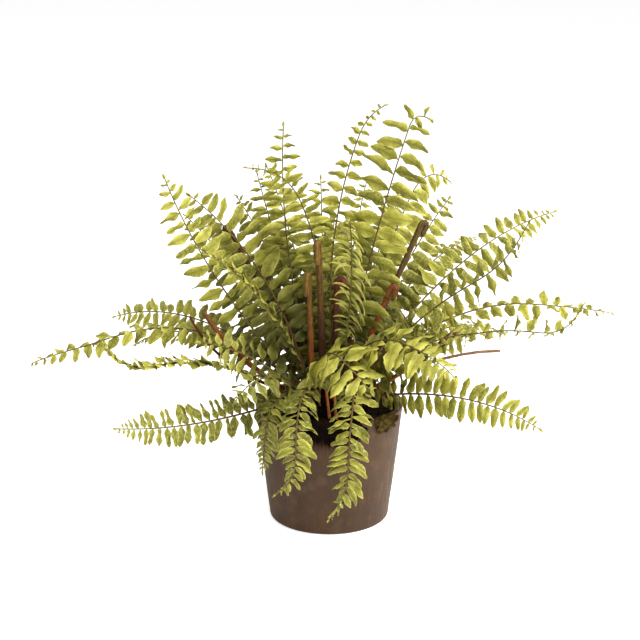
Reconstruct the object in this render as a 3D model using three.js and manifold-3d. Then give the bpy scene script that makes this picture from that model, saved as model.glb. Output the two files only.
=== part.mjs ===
// A potted fern: a tapered clay pot, potting soil, the fern's fibrous crown, a mat of roots and a
// cushion of moss at the rim, arching fronds, young croziers that are still rolled up at the head,
// and bare stalks.
// Millimetres, +Z up. The origin is the centre of the pot's flat underside, and -Y is the front.
import * as THREE from "three";
import { mergeVertices } from "three/addons/utils/BufferGeometryUtils.js";
import Module from "manifold-3d";

const wasm = await Module();
wasm.setup();

// ---- Driving dimensions ----
const GAP = 0.3; // the air that touching pieces keep
const CLEARANCE = 0.5; // the air that a pinna keeps to its neighbours
const POT = { height: 100, rim: 62.5, base: 50.5, wall: 5, floor: 6, edge: 3, bevel: 1.2, sides: 36 };
const SOIL = { top: 94, bank: 3, flat: 34, brink: 41, crest: 6, bevel: 1.5, sides: 30 };
const CROWN = { radius: 30, height: 10, edge: 2, sides: 24 };
const ROOT_DEPTH = 5; // how high above the soil's gap the stems start, inside the crown

// rachis and tip: its radius at the foot and at the tip. last: the share of the length where the
// pinnae end. least: the shortest pinna, as a share of the longest. spread: how much wider apart the
// teeth stand than the real pinnae do. lean and leanMore: a pinna's lean towards the tip, at the foot
// and how much more at the tip. hang: how much of a frond's fall its teeth show. shorten: one step of
// the trimming.
const FROND = {
  rachis: 1.2,
  tip: 0.5,
  last: 0.97,
  least: 0.24,
  spread: 1.5,
  lean: 3,
  leanMore: 10,
  hang: 0.7,
  shorten: 0.72,
};
const STALK = { sides: 6, hookStep: 36, taper: 0.6, pinch: 0.25 };
const SPRING = { pitch: 78, share: 0.14 }; // the pitch of a stem at the soil, and how soon it bends
const HANG = -82; // a frond that arches right over hangs at this pitch and no further

// ---- The fronds, as they grow ----
// azimuth: where a frond heads, in degrees, 0 to the right (+X) and 90 to the back (+Y).
// rise: its pitch above the horizon at the crown; droop: how far the pitch falls along it; sweep:
// how far the heading turns along it; curl and hook: how far it pitches and turns as well, from the
// share of its length that turn gives, on to the tip.
// length, leaf and gap: the rachis, the longest pinna and the distance between pinnae, in
// millimetres.
// roll: how far the blade is rolled about the rachis; fall: how far a pinna hangs, as a share of its
// length, and a negative one stands up; blunt: how near the tip the pinnae stay long, from 2.4,
// tapering, to 12, hardly at all; bare: the share of the frond, from the foot, that has no pinnae.
// name, foot x, foot y, azimuth, rise, droop, sweep, curl, hook, turn, length, leaf, gap, roll,
// fall, blunt, bare
const FRONDS = [
  ["frond_tall_right", 7, 3, 346, 79, 8, 0, -100, 0, 0.92, 264, 27, 13, 80, 0.4, 12, 0.07],
  ["frond_tall_middle", 3, -1, 22, 97, 36, 0, -34, 0, 0.86, 262, 18, 12, 50, 0.4, 3.5, 0.07],
  ["frond_behind_tall_right", 8, 9, 38, 68, 14, 0, -90, 0, 0.76, 236, 24, 12, 60, 0.6, 7, 0.07],
  ["frond_tall_left", -10, 4, 150, 74, -20, 0, 0, 0, 0.66, 234, 21, 12, -60, 0.3, 7, 0.07],
  ["frond_left_bending", -4, 3, 205, 96, 46, 0, -44, 0, 0.72, 236, 20, 10, -115, 0.3, 4, 0.07],
  ["frond_left_high", -10, 9, 140, 70, 0, 0, 0, 0, 0.66, 196, 22, 11, -60, 0.2, 6, 0.07],
  ["frond_middle_back", -3, 9, 95, 78, 6, 0, 0, 0, 0.66, 186, 20, 11, -10, 0.2, 7, 0.07],
  ["frond_feathered_front", 5, -10, 316, 76, 2, -60, -10, 0, 0.66, 176, 24, 5.5, 0, 0.7, 4, 0.36],
  ["frond_left_long", -13, 0, 165, 74, 40, 0, 0, 0, 0.66, 206, 28, 12, -75, 0.1, 8, 0.07],
  ["frond_left_upright", -18, 1, 198, 50, -20, 0, 0, 0, 0.66, 232, 22, 11, -80, 0.1, 8, 0.07],
  ["frond_left_edge", -12, -6, 206, 71, 42, 0, 0, 0, 0.66, 186, 17, 8, 0, -0.3, 6, 0.07],
  ["frond_left_arching", -22, 6, 165, 44, 64, 0, 0, 0, 0.66, 192, 19, 7, -40, 0.3, 6, 0.28],
  ["frond_far_left", -20, -4, 187, 47, 108, 0, 38, 0, 0.66, 254, 17, 12, -30, 0.6, 5, 0.32],
  ["frond_left_low", -22, -9, 200, 34, 60, 0, 80, 0, 0.72, 190, 18, 7, 5, -0.5, 8, 0.28],
  ["frond_left_spread", -24, -14, 212, -7, -20, 0, 0, 0, 0.66, 172, 19, 7, -60, 0.0, 5, 0.1],
  ["frond_pot_left", -13, -15, 231, 50, 230, 0, 0, 0, 0.66, 117, 19, 5.8, 0, 0.6, 4, 0.2],
  ["frond_pot_middle", -12, -20, 257, 50, 220, 8, 50, -70, 0.74, 154, 20, 5.8, 0, 0.6, 5, 0.2],
  ["frond_pot_right", 13, -18, 286, 50, 250, -46, 26, -90, 0.72, 182, 20, 5.8, 0, 0.5, 7, 0.2],
  ["frond_right_spread", 26, -11, 340, 14, 42, 0, 0, 0, 0.66, 160, 20, 7.5, 60, 0.0, 5, 0.1],
  ["frond_front_right", 8, -11, 318, 82, 168, 0, 48, 0, 0.6, 162, 30, 9, 30, 0.5, 6, 0.07],
  ["frond_front_middle", -8, -15, 260, 101, 208, 70, 46, 0, 0.66, 120, 32, 9, 30, 0.5, 9, 0.1],
  ["frond_right_rising", 18, -2, 36, 46, 42, 0, 0, 0, 0.66, 274, 24, 11, 40, 0.1, 5, 0.07],
  ["frond_right_leaning", 16, -7, 338, 55, 38, 0, 45, 0, 0.66, 228, 25, 11, 40, 0.4, 6, 0.07],
  ["frond_far_right", 19, 3, 12, 45, 88, 0, 26, 0, 0.66, 258, 18, 13, 20, -0.2, 5, 0.2],
  ["frond_right_low", 22, -6, 342, 44, 68, 0, 90, 0, 0.76, 226, 18, 13, 10, -0.5, 6, 0.12],
  ["frond_inner_left", -17, 7, 150, 58, 22, 0, 0, 0, 0.66, 190, 28, 11, -70, 0.2, 5, 0.07],
  ["frond_inner_left_low", -18, -7, 215, 46, 30, 0, 0, 0, 0.66, 128, 25, 10, -60, 0.3, 5, 0.07],
  ["frond_inner_right", 17, 8, 45, 60, 24, 0, 0, 0, 0.66, 200, 27, 11, 60, 0.2, 5, 0.07],
  ["frond_inner_right_low", 19, -12, 326, 50, 40, 0, 0, 0, 0.66, 150, 25, 10, 40, 0.4, 5, 0.07],
  ["frond_inner_middle", -1, 5, 94, 80, 8, 0, 0, 0, 0.66, 150, 24, 10, 50, 0.3, 5, 0.07],
  ["frond_inner_back_left", -9, 13, 132, 66, 26, 0, 0, 0, 0.66, 190, 26, 11, -60, 0.3, 5, 0.07],
  ["frond_inner_back_right", 11, 12, 58, 68, 26, 0, 0, 0, 0.66, 190, 26, 11, 60, 0.3, 5, 0.07],
  ["frond_inner_front_left", -18, -20, 222, 62, 110, 0, 0, 0, 0.66, 96, 22, 9, -20, 0.4, 5, 0.07],
  ["frond_back_right", 15, 15, 50, 48, 50, 0, 0, 0, 0.66, 225, 22, 11, 10, 0.2, 3.5, 0.07],
  ["frond_back_right_low", 21, 14, 40, 28, 60, 0, 0, 0, 0.66, 200, 20, 9, 20, 0.1, 3.5, 0.07],
  ["frond_back", 0, 16, 88, 58, 52, 0, 0, 0, 0.66, 200, 23, 11, 0, 0.2, 3.5, 0.07],
  ["frond_back_low", -3, 24, 100, 30, 75, 0, 0, 0, 0.66, 200, 20, 9, 0, 0.1, 3.5, 0.07],
  ["frond_back_left", -10, 17, 125, 50, 50, 0, 0, 0, 0.66, 230, 22, 11, -10, 0.2, 3.5, 0.07],
  ["frond_back_left_low", -21, 13, 145, 26, 60, 0, 0, 0, 0.66, 205, 20, 9, -20, 0.1, 3.5, 0.07],
  ["frond_back_tall_right", 6, 15, 76, 68, 34, 0, 0, 0, 0.66, 205, 23, 12, 10, 0.2, 3.5, 0.07],
  ["frond_back_tall_left", -6, 14, 112, 66, 34, 0, 0, 0, 0.66, 225, 23, 12, -10, 0.2, 3.5, 0.07],
  ["frond_pot_back", 7, 21, 70, 50, 230, 0, 0, 0, 0.66, 125, 22, 8, 0, 0.1, 3.5, 0.07],
];

// Croziers and bare stalks grow along the same kind of line. rolled: how far the head turns over, in
// degrees (0 leaves a cut end); folded: how far it then runs back beside the stalk, in millimetres.
// name, foot x, foot y, azimuth, rise, droop, length, radius at the foot, radius at the head,
// rolled, folded
const STALKS = [
  ["crozier_front_left", -13, -10.5, 245, 85, -2, 114, 2.2, 2.4, 180, 15],
  ["crozier_front", -4, -6, 252, 83, -2, 142, 2.6, 2.6, 180, 15],
  ["crozier_right", 12, 5, 28, 62, 0, 162, 2.3, 2.4, 180, 9],
  ["crozier_right_short", 13, 0, 345, 69, 0, 109, 2.2, 2.3, 180, 9],
  ["crozier_middle", 1.8, -5, 350, 88, 0, 106, 2.1, 2.9, 300, 0],
  ["crozier_left", -25, -7, 196, 36, -24, 120, 2.6, 1.8, 0, 0],
  ["crozier_left_thin", -27, 1, 194, 22, -44, 124, 1.5, 0.9, 0, 0],
  ["crozier_left_high", -15, 12, 155, 62, 4, 160, 1.9, 1.9, 180, 8],
  ["stalk_bare_right", 24, 1, 352, 33, 30, 132, 1.4, 1.2, 0, 0],
  ["crozier_right_low", 22, -16, 340, 38, -6, 110, 1.9, 1.7, 180, 7],
];

// ---- Solids ----
const radians = THREE.MathUtils.degToRad;

// A closed geometry as a manifold-3d solid, and a solid back as a geometry.
function solidOf(geometry) {
  const bare = new THREE.BufferGeometry().setAttribute("position", geometry.getAttribute("position"));
  bare.setIndex(geometry.index);
  const merged = mergeVertices(bare, 1e-4);
  const mesh = { numProp: 3, vertProperties: merged.attributes.position.array, triVerts: merged.index.array };
  return new wasm.Manifold(new wasm.Mesh(mesh));
}

function geometryOf(solid) {
  const mesh = solid.getMesh();
  const geometry = new THREE.BufferGeometry();
  geometry.setAttribute("position", new THREE.BufferAttribute(new Float32Array(mesh.vertProperties), 3));
  geometry.setIndex(new THREE.BufferAttribute(new Uint32Array(mesh.triVerts), 1));
  geometry.computeVertexNormals();
  return geometry;
}

function meets(a, b) {
  return a.intersect(b).volume() > 0;
}

function largest(solid) {
  return solid.decompose().reduce((best, body) => (body.volume() > best.volume() ? body : best));
}

// A profile of [radius, height] points turned about +Z.
function turned(profile, sides) {
  const points = profile.map(([radius, height]) => new THREE.Vector2(radius, height));
  return new THREE.LatheGeometry(points, sides).rotateX(Math.PI / 2);
}

// ---- Growth lines ----
// The line of a frond or a stalk, as a function that gives, at a share t of its length, the point,
// the way it runs (along), the way its blade spreads (across) and the way the blade's upper side
// faces (face).
function growthLine({ root, azimuth, rise, droop, length, ...more }) {
  const { sweep = 0, curl = 0, hook = 0, turn = 0.66, roll = 0 } = more;
  const steps = 96; // straight steps that the curve is summed from
  const late = (t) => THREE.MathUtils.smoothstep(t, turn, 1);
  const heading = (t) => radians(azimuth + sweep * t + hook * late(t));
  const spring = (t) => (SPRING.pitch - rise) * Math.max(0, 1 - t / SPRING.share) ** 2;
  const arch = (t) => Math.max(HANG, rise - droop * t ** 1.5 + spring(t));
  const pitch = (t) => radians(arch(t) + curl * late(t));
  const direction = (t) => {
    const [h, p] = [heading(t), pitch(t)];
    return new THREE.Vector3(Math.cos(p) * Math.cos(h), Math.cos(p) * Math.sin(h), Math.sin(p));
  };
  const points = [root.clone()];
  for (let i = 0; i < steps; i++) {
    const step = direction((i + 0.5) / steps).multiplyScalar(length / steps);
    points.push(points[i].clone().add(step));
  }
  return (t) => {
    const i = Math.min(steps - 1, Math.floor(t * steps));
    const point = points[i].clone().lerp(points[i + 1], t * steps - i);
    const along = direction(t);
    const level = new THREE.Vector3(-Math.sin(heading(t)), Math.cos(heading(t)), 0);
    const across = level.applyAxisAngle(along, radians(roll));
    return { point, along, across, face: along.clone().cross(across) };
  };
}

// A capped cylinder whose rings are moved on to stations, each { point, along, across, face }. place
// gives where a corner of a station's ring goes, from its unit x and z in the cylinder's own
// section.
function loft(stations, sides, place) {
  const shape = new THREE.CylinderGeometry(1, 1, 1, sides, stations.length - 1);
  const position = shape.getAttribute("position");
  for (let v = 0; v < position.count; v++) {
    const ring = Math.round((0.5 - position.getY(v)) * (stations.length - 1));
    const corner = { x: position.getX(v), z: position.getZ(v) };
    const { x, y, z } = place(stations[ring], corner, ring);
    position.setXYZ(v, x, y, z);
  }
  return shape;
}

// ---- Fronds ----
// How long a pinna is at a share t of the frond, as a share of the longest: none on the bare foot,
// then nearly full, then tapering to the tip.
function pinnaShare(t, { blunt, bare }) {
  const s = Math.min(1, (t - bare) / (1 - bare));
  if (s <= 0) return 0;
  return Math.max(FROND.least, (0.45 + 0.55 * Math.min(1, s / 0.25)) * (1 - s ** blunt) ** 0.8);
}

// The shares of a frond's length at which its pinnae stand, left and right in turn, closer together
// towards the tip.
function pinnaPlaces(frond) {
  const places = [];
  for (let t = frond.bare + 0.02; t < FROND.last; ) {
    places.push(t);
    t += (FROND.spread * 0.5 * frond.gap * (0.4 + 0.6 * pinnaShare(t, frond))) / frond.length;
  }
  return places;
}

// One frond's stations: the bare foot, one for each pinna, and the tip. A station with a pinna has
// its side (1 or -1) and its reach in millimetres.
function frondStations(frond) {
  const foot = [0, 0.05, 0.12, 0.2, 0.28, 0.36].filter((t) => t < frond.bare);
  const bare = foot.map((t) => ({ ...frond.line(t), t, reach: 0, side: 1 }));
  const pinnae = pinnaPlaces(frond).map((t, i) => {
    const reach = frond.leaf * pinnaShare(t, frond);
    return { ...frond.line(t), t, reach, side: i % 2 ? 1 : -1 };
  });
  return [...bare, ...pinnae, { ...frond.line(1), t: 1, reach: 0, side: 1 }];
}

// The solid of a run of stations. Each pinna is a pointed tooth of the blade, leaning towards the
// tip and hanging by the frond's fall; the rachis is the ridge that the teeth share. `more` makes it
// that much thicker and wider.
function frondSolid(frond, stations, more = 0) {
  const place = ({ point, along, across, face, t, reach, side }, corner, ring) => {
    const rachis = THREE.MathUtils.lerp(FROND.rachis, FROND.tip, t) + more;
    const tooth = reach > 0 && corner.x * side > 0.5;
    const wide = tooth ? Math.max(rachis, reach + more) : rachis;
    const lean = radians(FROND.lean + FROND.leanMore * t);
    const spot = point.clone();
    spot.addScaledVector(across, corner.x * wide * Math.cos(tooth ? lean : 0));
    spot.addScaledVector(face, corner.z * rachis);
    if (tooth) spot.addScaledVector(along, wide * Math.sin(lean));
    if (tooth) spot.z -= FROND.hang * frond.fall * wide;
    if (more && ring === 0) spot.addScaledVector(along, -more);
    return spot;
  };
  return solidOf(loft(stations, 4, place));
}

// A frond's tooth alone, between its neighbouring valleys.
function toothSolid(frond, stations, i) {
  const valley = (station) => ({ ...station, reach: 0 });
  return frondSolid(frond, [valley(stations[i - 1]), stations[i], valley(stations[i + 1])]);
}

// ---- Stalks ----
// A stalk's stations: its line, and then its head, which turns over in the plane of its heading and
// runs back, pinched against the stalk.
function stalkStations({ line, head, rolled, folded }) {
  const stations = [0, 0.05, 0.1, 0.18, 0.3, 0.45, 0.6, 0.75, 0.9, 1].map(line);
  if (!rolled) return stations;
  const { point, along, across, face } = stations.at(-1);
  const hook = head + STALK.pinch;
  const centre = point.clone().addScaledVector(face, -hook);
  const turns = Math.ceil(rolled / STALK.hookStep);
  for (let i = 1; i <= turns; i++) {
    const angle = radians((rolled * i) / turns);
    const out = face.clone().applyAxisAngle(across, angle);
    const spot = centre.clone().addScaledVector(out, hook);
    stations.push({ point: spot, along: along.clone().applyAxisAngle(across, angle), across, face: out });
  }
  if (folded) {
    const end = stations.at(-1);
    stations.push({ ...end, point: end.point.clone().addScaledVector(end.along, folded) });
  }
  return stations;
}

function stalkSolid(stalk, more = 0) {
  const stations = stalkStations(stalk);
  const last = stations.length - 1;
  const place = ({ point, along, across, face }, corner, ring) => {
    const end = ring === last && stalk.rolled ? STALK.taper : 1;
    const radius = THREE.MathUtils.lerp(stalk.foot, stalk.head, ring / last) * end + more;
    const spot = point.clone();
    spot.addScaledVector(across, corner.x * radius).addScaledVector(face, corner.z * radius);
    if (more && ring === 0) spot.addScaledVector(along, -more);
    return spot;
  };
  return solidOf(loft(stations, STALK.sides, place));
}

// ---- Pot, soil, crown and moss ----
function potProfile(more = 0) {
  const { height, rim, base, wall, floor, edge, bevel } = POT;
  const slope = (rim - base) / height;
  const outer = (z) => base + slope * z + more;
  const inner = (z) => base + slope * z - wall - more;
  const rounding = [0, 30, 60, 90].map(radians);
  const foot = rounding.map((a) => {
    return [outer(edge) - edge + edge * Math.sin(a), edge - edge * Math.cos(a) - more];
  });
  const brim = [
    [outer(height - bevel), height - bevel],
    [outer(height) - bevel, height + more],
    [inner(height) + bevel, height + more],
    [inner(height - bevel), height - bevel],
  ];
  return [[0, -more], ...foot, ...brim, [inner(floor + more), floor + more], [0, floor + more]];
}

// The soil fills the pot and rises from its flat middle to a bank just inside the rim.
function soilProfile(more = 0) {
  const { rim, base, wall, floor, height } = POT;
  const wallAt = (z) => base + ((rim - base) / height) * z - wall - GAP + more;
  const bankTop = SOIL.top + SOIL.bank + more;
  return [
    [0, floor + GAP],
    [wallAt(floor), floor + GAP],
    [wallAt(bankTop - SOIL.bevel), bankTop - SOIL.bevel],
    [wallAt(bankTop) - SOIL.crest, bankTop],
    [SOIL.brink, SOIL.top + 0.6 * SOIL.bank + more],
    [SOIL.flat, SOIL.top + more],
    [0, SOIL.top + more],
  ];
}

function crownProfile() {
  const { radius, height, edge } = CROWN;
  const foot = SOIL.top + GAP;
  const dome = [0, 22, 44, 66].map(radians);
  const side = dome.map((a) => [radius * Math.cos(a), foot + edge + (height - edge) * Math.sin(a)]);
  return [[0, foot], [radius - edge, foot], ...side, [0, foot + height]];
}

// A cushion of moss or roots on the rim: a flattened ball with a lumpy top, cut to lie on whatever
// is under it.
function cushionSolid({ azimuth, radius, z, size, tilt }, supports) {
  const x = radius * Math.cos(radians(azimuth));
  const y = radius * Math.sin(radians(azimuth));
  const ball = new THREE.SphereGeometry(1, 12, 7).rotateX(Math.PI / 2);
  const position = ball.getAttribute("position");
  for (let i = 0; i < position.count; i++) {
    const [px, py, pz] = [position.getX(i), position.getY(i), position.getZ(i)];
    const lump = 1 + 0.12 * Math.sin(5 * px + 2) * Math.cos(4 * py) * (1 - Math.abs(pz));
    position.setXYZ(i, px * size[0] * lump, py * size[1] * lump, pz * size[2]);
  }
  ball.rotateX(radians(tilt)).rotateZ(radians(azimuth + 90)).translate(x, y, z);
  return largest(supports.reduce((cushion, support) => cushion.subtract(support), solidOf(ball)));
}

const RIM_MID = POT.rim - POT.wall / 2;
const CUSHIONS = [
  { name: "moss_right", azimuth: 318, radius: RIM_MID, z: 97, size: [11, 8, 7], tilt: 22 },
  { name: "root_mat", azimuth: 272, radius: RIM_MID - 1, z: 95.5, size: [27, 9.5, 11], tilt: 16 },
];

// ---- Planting ----
// Every frond and stalk starts inside the crown.
const footAt = (x, y) => new THREE.Vector3(x, y, SOIL.top + GAP + ROOT_DEPTH);

const fronds = FRONDS.map((row) => {
  const [name, x, y, azimuth, rise, droop, sweep, curl, hook, turn, ...blade] = row;
  const [length, leaf, gap, roll, fall, blunt, bare] = blade;
  const root = footAt(x, y);
  const line = growthLine({ root, azimuth, rise, droop, sweep, curl, hook, turn, length, roll });
  return { name, line, length, leaf, gap, fall, blunt, bare };
});

const stalks = STALKS.map((row) => {
  const [name, x, y, azimuth, rise, droop, length, foot, head, rolled, folded] = row;
  const line = growthLine({ root: footAt(x, y), azimuth, rise, droop, length });
  return { name, line, foot, head, rolled, folded };
});

const pot = solidOf(turned(potProfile(), POT.sides));
const roomyPot = solidOf(turned(potProfile(GAP), POT.sides));
const soil = solidOf(turned(soilProfile(), SOIL.sides));
const roomySoil = solidOf(turned(soilProfile(GAP), SOIL.sides));

const bareStations = (frond) => frondStations(frond).map((station) => ({ ...station, reach: 0 }));
const frondStems = fronds.map((frond) => {
  return { name: frond.name, solid: frondSolid(frond, bareStations(frond), CLEARANCE) };
});
const stalkStems = stalks.map((stalk) => ({ name: stalk.name, solid: stalkSolid(stalk, CLEARANCE) }));
const allStems = [...frondStems, ...stalkStems];

// The crown has a socket for every stem; the crumbs that the sockets leave between them are dropped.
const socketed = allStems.reduce(
  (made, stem) => made.subtract(stem.solid),
  solidOf(turned(crownProfile(), CROWN.sides)),
);
const crown = largest(socketed);

const supports = [roomyPot, roomySoil, ...allStems.map((stem) => stem.solid)];
const cushions = CUSHIONS.map((spot) => ({ name: spot.name, solid: cushionSolid(spot, supports) }));

// Each frond in turn gets its pinnae, and a pinna that would touch what already stands there is
// shorter until it clears it. Every stem is already standing.
const standing = [
  { name: "pot", solid: roomyPot },
  { name: "soil", solid: roomySoil },
  ...cushions,
  ...allStems,
];
const planted = fronds.map((frond) => {
  const others = standing.filter((other) => other.name !== frond.name);
  const stations = frondStations(frond);
  stations.forEach((station, i) => {
    while (station.reach > FROND.rachis) {
      const tooth = toothSolid(frond, stations, i);
      if (!others.some((other) => meets(tooth, other.solid))) break;
      station.reach *= FROND.shorten;
    }
    if (station.reach <= FROND.rachis) station.reach = 0;
  });
  standing.push({ name: frond.name + " blade", solid: frondSolid(frond, stations, CLEARANCE) });
  return { name: frond.name, solid: frondSolid(frond, stations) };
});

// ---- The object ----
const material = (color, roughness) => new THREE.MeshStandardMaterial({ color, roughness, metalness: 0 });
const CLAY = material(0x5f4a3b, 0.85);
const PEAT = material(0x241b13, 1);
const FIBRE = material(0x3a2a1a, 1);
const MOSS = material(0x56462a, 1);
const CUSHION_FINISH = { moss_right: MOSS, root_mat: FIBRE };
const LEAF = material(0x9f9850, 0.6);
const STEM = material(0x7a4f26, 0.7);

const fern = new THREE.Group();

function addPiece(name, geometry, finish) {
  const mesh = new THREE.Mesh(geometry, finish);
  mesh.name = name;
  fern.add(mesh);
}

addPiece("pot", geometryOf(pot), CLAY);
addPiece("soil", geometryOf(soil), PEAT);
addPiece("crown", geometryOf(crown), FIBRE);
cushions.forEach(({ name, solid }) => addPiece(name, geometryOf(solid), CUSHION_FINISH[name]));
planted.forEach(({ name, solid }) => addPiece(name, geometryOf(solid), LEAF));
stalks.forEach((stalk) => addPiece(stalk.name, geometryOf(stalkSolid(stalk)), STEM));

export default fern;
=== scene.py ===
# %% [markdown]
# # A fern in a clay pot
#
# A fern is one shape repeated many times: a leaflet, set left and right along a stem that arches out of
# a fibrous crown. This lesson builds that leaflet once, as a formula, and then grows every frond from a
# short row of numbers. The pot, the soil, the crown and the young rolled-up fronds follow.
#
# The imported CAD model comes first. It says where every piece stands, in metres, with +Z up and the
# front towards -Y. Its shapes are plain, so each piece built here stands for one CAD piece.

# %% The frame
import math

import bpy
import numpy as np
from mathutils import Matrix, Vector, noise


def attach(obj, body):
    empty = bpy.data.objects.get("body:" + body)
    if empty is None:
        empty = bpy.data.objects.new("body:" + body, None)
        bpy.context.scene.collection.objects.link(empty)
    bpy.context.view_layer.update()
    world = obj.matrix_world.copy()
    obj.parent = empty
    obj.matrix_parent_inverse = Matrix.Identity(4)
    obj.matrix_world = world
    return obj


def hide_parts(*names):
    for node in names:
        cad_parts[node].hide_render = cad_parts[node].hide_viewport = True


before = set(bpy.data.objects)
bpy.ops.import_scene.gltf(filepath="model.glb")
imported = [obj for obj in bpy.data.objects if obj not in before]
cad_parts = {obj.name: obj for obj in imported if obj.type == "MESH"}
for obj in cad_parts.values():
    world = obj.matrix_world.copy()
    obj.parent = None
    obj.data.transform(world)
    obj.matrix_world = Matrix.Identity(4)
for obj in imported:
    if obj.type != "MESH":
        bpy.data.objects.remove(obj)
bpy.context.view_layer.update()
MM = 0.001
print("CAD pieces:", len(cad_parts))

# %% [markdown]
# ## Camera, floor and light
#
# A small object looks right through a long lens from a little over a metre away, because a wide lens
# would bulge the fronds that point at it. The floor is a large pale sheet, so that its edge stays out
# of sight. The light is a bright, even sky with three large soft lamps: one at the right, which leaves
# the left side of the pot darker, one high in front, and a weak one behind that lights the outer fronds
# from the back, so that they don't turn grey. A sun would give hard shadows that a studio avoids.

# %% Camera
camera_data = bpy.data.cameras.new("camera")
camera_data.lens = 91.8
camera_data.sensor_width = 36.0
camera = bpy.data.objects.new("camera", camera_data)
camera.location = (-0.0077, -1.300, 0.549)
camera.rotation_euler = (math.radians(90 - 16.2), 0, 0)
bpy.context.scene.collection.objects.link(camera)
bpy.context.scene.camera = camera
bpy.context.scene.view_settings.view_transform = "Standard"
print("camera stands", round(camera.location.length, 3), "m from the pot's foot")


# %% Helpers for node materials
def add_node(tree, kind, inputs=None, **settings):
    """Adds a shader node. inputs holds plain values, or sockets of other nodes to link from."""
    made = tree.nodes.new("ShaderNode" + kind)
    for name, value in settings.items():
        setattr(made, name, value)
    for name, value in (inputs or {}).items():
        if isinstance(value, bpy.types.NodeSocket):
            tree.links.new(value, made.inputs[name])
        else:
            made.inputs[name].default_value = value
    return made


def math_node(tree, operation, *values):
    return add_node(tree, "Math", dict(enumerate(values)), operation=operation).outputs[0]


def ranged(tree, value, low, high, to_low=0.0, to_high=1.0):
    """Maps value smoothly from low..high to to_low..to_high."""
    inputs = {"Value": value, "From Min": low, "From Max": high}
    inputs.update({"To Min": to_low, "To Max": to_high})
    made = add_node(tree, "MapRange", inputs, interpolation_type="SMOOTHSTEP")
    return made.outputs["Result"]


MIX_A, MIX_B, MIX_RESULT = 6, 7, 2  # a Mix node's colour sockets, which share names with its others


def mixed(tree, share, first, second):
    made = add_node(tree, "Mix", {0: share, MIX_A: first, MIX_B: second}, data_type="RGBA")
    return made.outputs[MIX_RESULT]


def linear(rgb):
    """An sRGB colour of 0 to 255 as the linear colour, with alpha, that a shader takes."""
    shares = [c / 255 for c in rgb]
    return (*(c / 12.92 if c <= 0.04045 else ((c + 0.055) / 1.055) ** 2.4 for c in shares), 1)


def ramp(tree, share, *stops):
    """A colour ramp through stops, each (position, (red, green, blue)), in sRGB of 0 to 255."""
    made = add_node(tree, "ValToRGB", {"Fac": share})
    elements = made.color_ramp.elements
    while len(elements) < len(stops):
        elements.new(0.5)
    for element, (position, rgb) in zip(elements, stops):
        element.position = position
        element.color = linear(rgb)
    return made.outputs["Color"]


def tinted(tree, base, mask, amount, rgb):
    """Mixes an sRGB colour of 0 to 255 into base: amount of it where the mask is 1, none where 0."""
    return mixed(tree, math_node(tree, "MULTIPLY", mask, amount), base, linear(rgb))


print("an sRGB grey of 128 is", round(linear((128, 128, 128))[0], 3), "in linear light")


# %% Floor and lamps
def link(item):
    bpy.context.scene.collection.objects.link(item)
    return item


def soft_lamp(name, place, size, power):
    data = bpy.data.lights.new(name, "AREA")
    data.size = size
    data.energy = power
    lamp = link(bpy.data.objects.new(name, data))
    lamp.location = place
    aim = Vector((0, 0, 0.15)) - lamp.location
    lamp.rotation_euler = aim.to_track_quat("-Z", "Y").to_euler()
    print(name, "stands", round(lamp.location.length, 2), "m away")


soft_lamp("lamp_right", (1.1, -0.35, 0.95), 0.8, 24)
soft_lamp("lamp_front", (0.25, -1.3, 1.9), 1.0, 34)
soft_lamp("lamp_back", (-0.5, 1.3, 1.5), 1.2, 12)

world = bpy.data.worlds.new("studio")
world.use_nodes = True
world.node_tree.nodes["Background"].inputs["Color"].default_value = (1, 1, 1, 1)
seen = add_node(world.node_tree, "LightPath").outputs["Is Camera Ray"]
world.node_tree.links.new(ranged(world.node_tree, seen, 0.0, 1.0, 0.4, 1.0),
                          world.node_tree.nodes["Background"].inputs["Strength"])
bpy.context.scene.world = world

FLOOR_SIDE = 40
floor_mesh = bpy.data.meshes.new("floor")
half = FLOOR_SIDE / 2
floor_mesh.from_pydata([(-half, -half, 0), (half, -half, 0), (half, half, 0), (-half, half, 0)], [],
                       [(0, 1, 2, 3)])
floor = link(bpy.data.objects.new("floor", floor_mesh))
paper = bpy.data.materials.new("floor_paper")
paper.use_nodes = True
paper_shader = paper.node_tree.nodes["Principled BSDF"]
paper_shader.inputs["Base Color"].default_value = (0.9, 0.9, 0.9, 1)
paper_shader.inputs["Roughness"].default_value = 0.9
paper_shader.inputs["Emission Strength"].default_value = 0.6
seen = add_node(paper.node_tree, "LightPath").outputs["Is Camera Ray"]
paper.node_tree.links.new(mixed(paper.node_tree, seen, (0, 0, 0, 1), (1, 1, 1, 1)),
                          paper_shader.inputs["Emission Color"])
floor_mesh.materials.append(paper)

# %% [markdown]
# ## Effects that several finishes share
#
# Clay, soil, roots, stems and leaves are all uneven, but each in its own way. Three effects recur, and
# a fourth is kept beside them, so each is made once as a node group with its own inputs. *Mottling* is
# soft blotches, from low noise pushed through a smooth step. *Grain* is fine noise for bumps and for
# speckles of colour. *Streaks* is noise that is squeezed across and stretched along, for brushed clay
# and for the ridges of a stem. *Painted shade of crown* is how near a point is to the plant's dense
# middle, where the leaves get painted shade for the crowded fronds' shadow. A group keeps the effect
# in one place, and every finish tunes it through the sockets.


# %% Shared effects
def effect_group(name, inputs, outputs):
    """An empty node group with named float or vector inputs and float outputs."""
    group = bpy.data.node_groups.new(name, "ShaderNodeTree")
    for label, default in inputs.items():
        kind = "NodeSocketVector" if default is None else "NodeSocketFloat"
        socket = group.interface.new_socket(label, in_out="INPUT", socket_type=kind)
        if default is not None:
            socket.default_value = default
    for label in outputs:
        group.interface.new_socket(label, in_out="OUTPUT", socket_type="NodeSocketFloat")
    return group, group.nodes.new("NodeGroupInput"), group.nodes.new("NodeGroupOutput")


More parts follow.
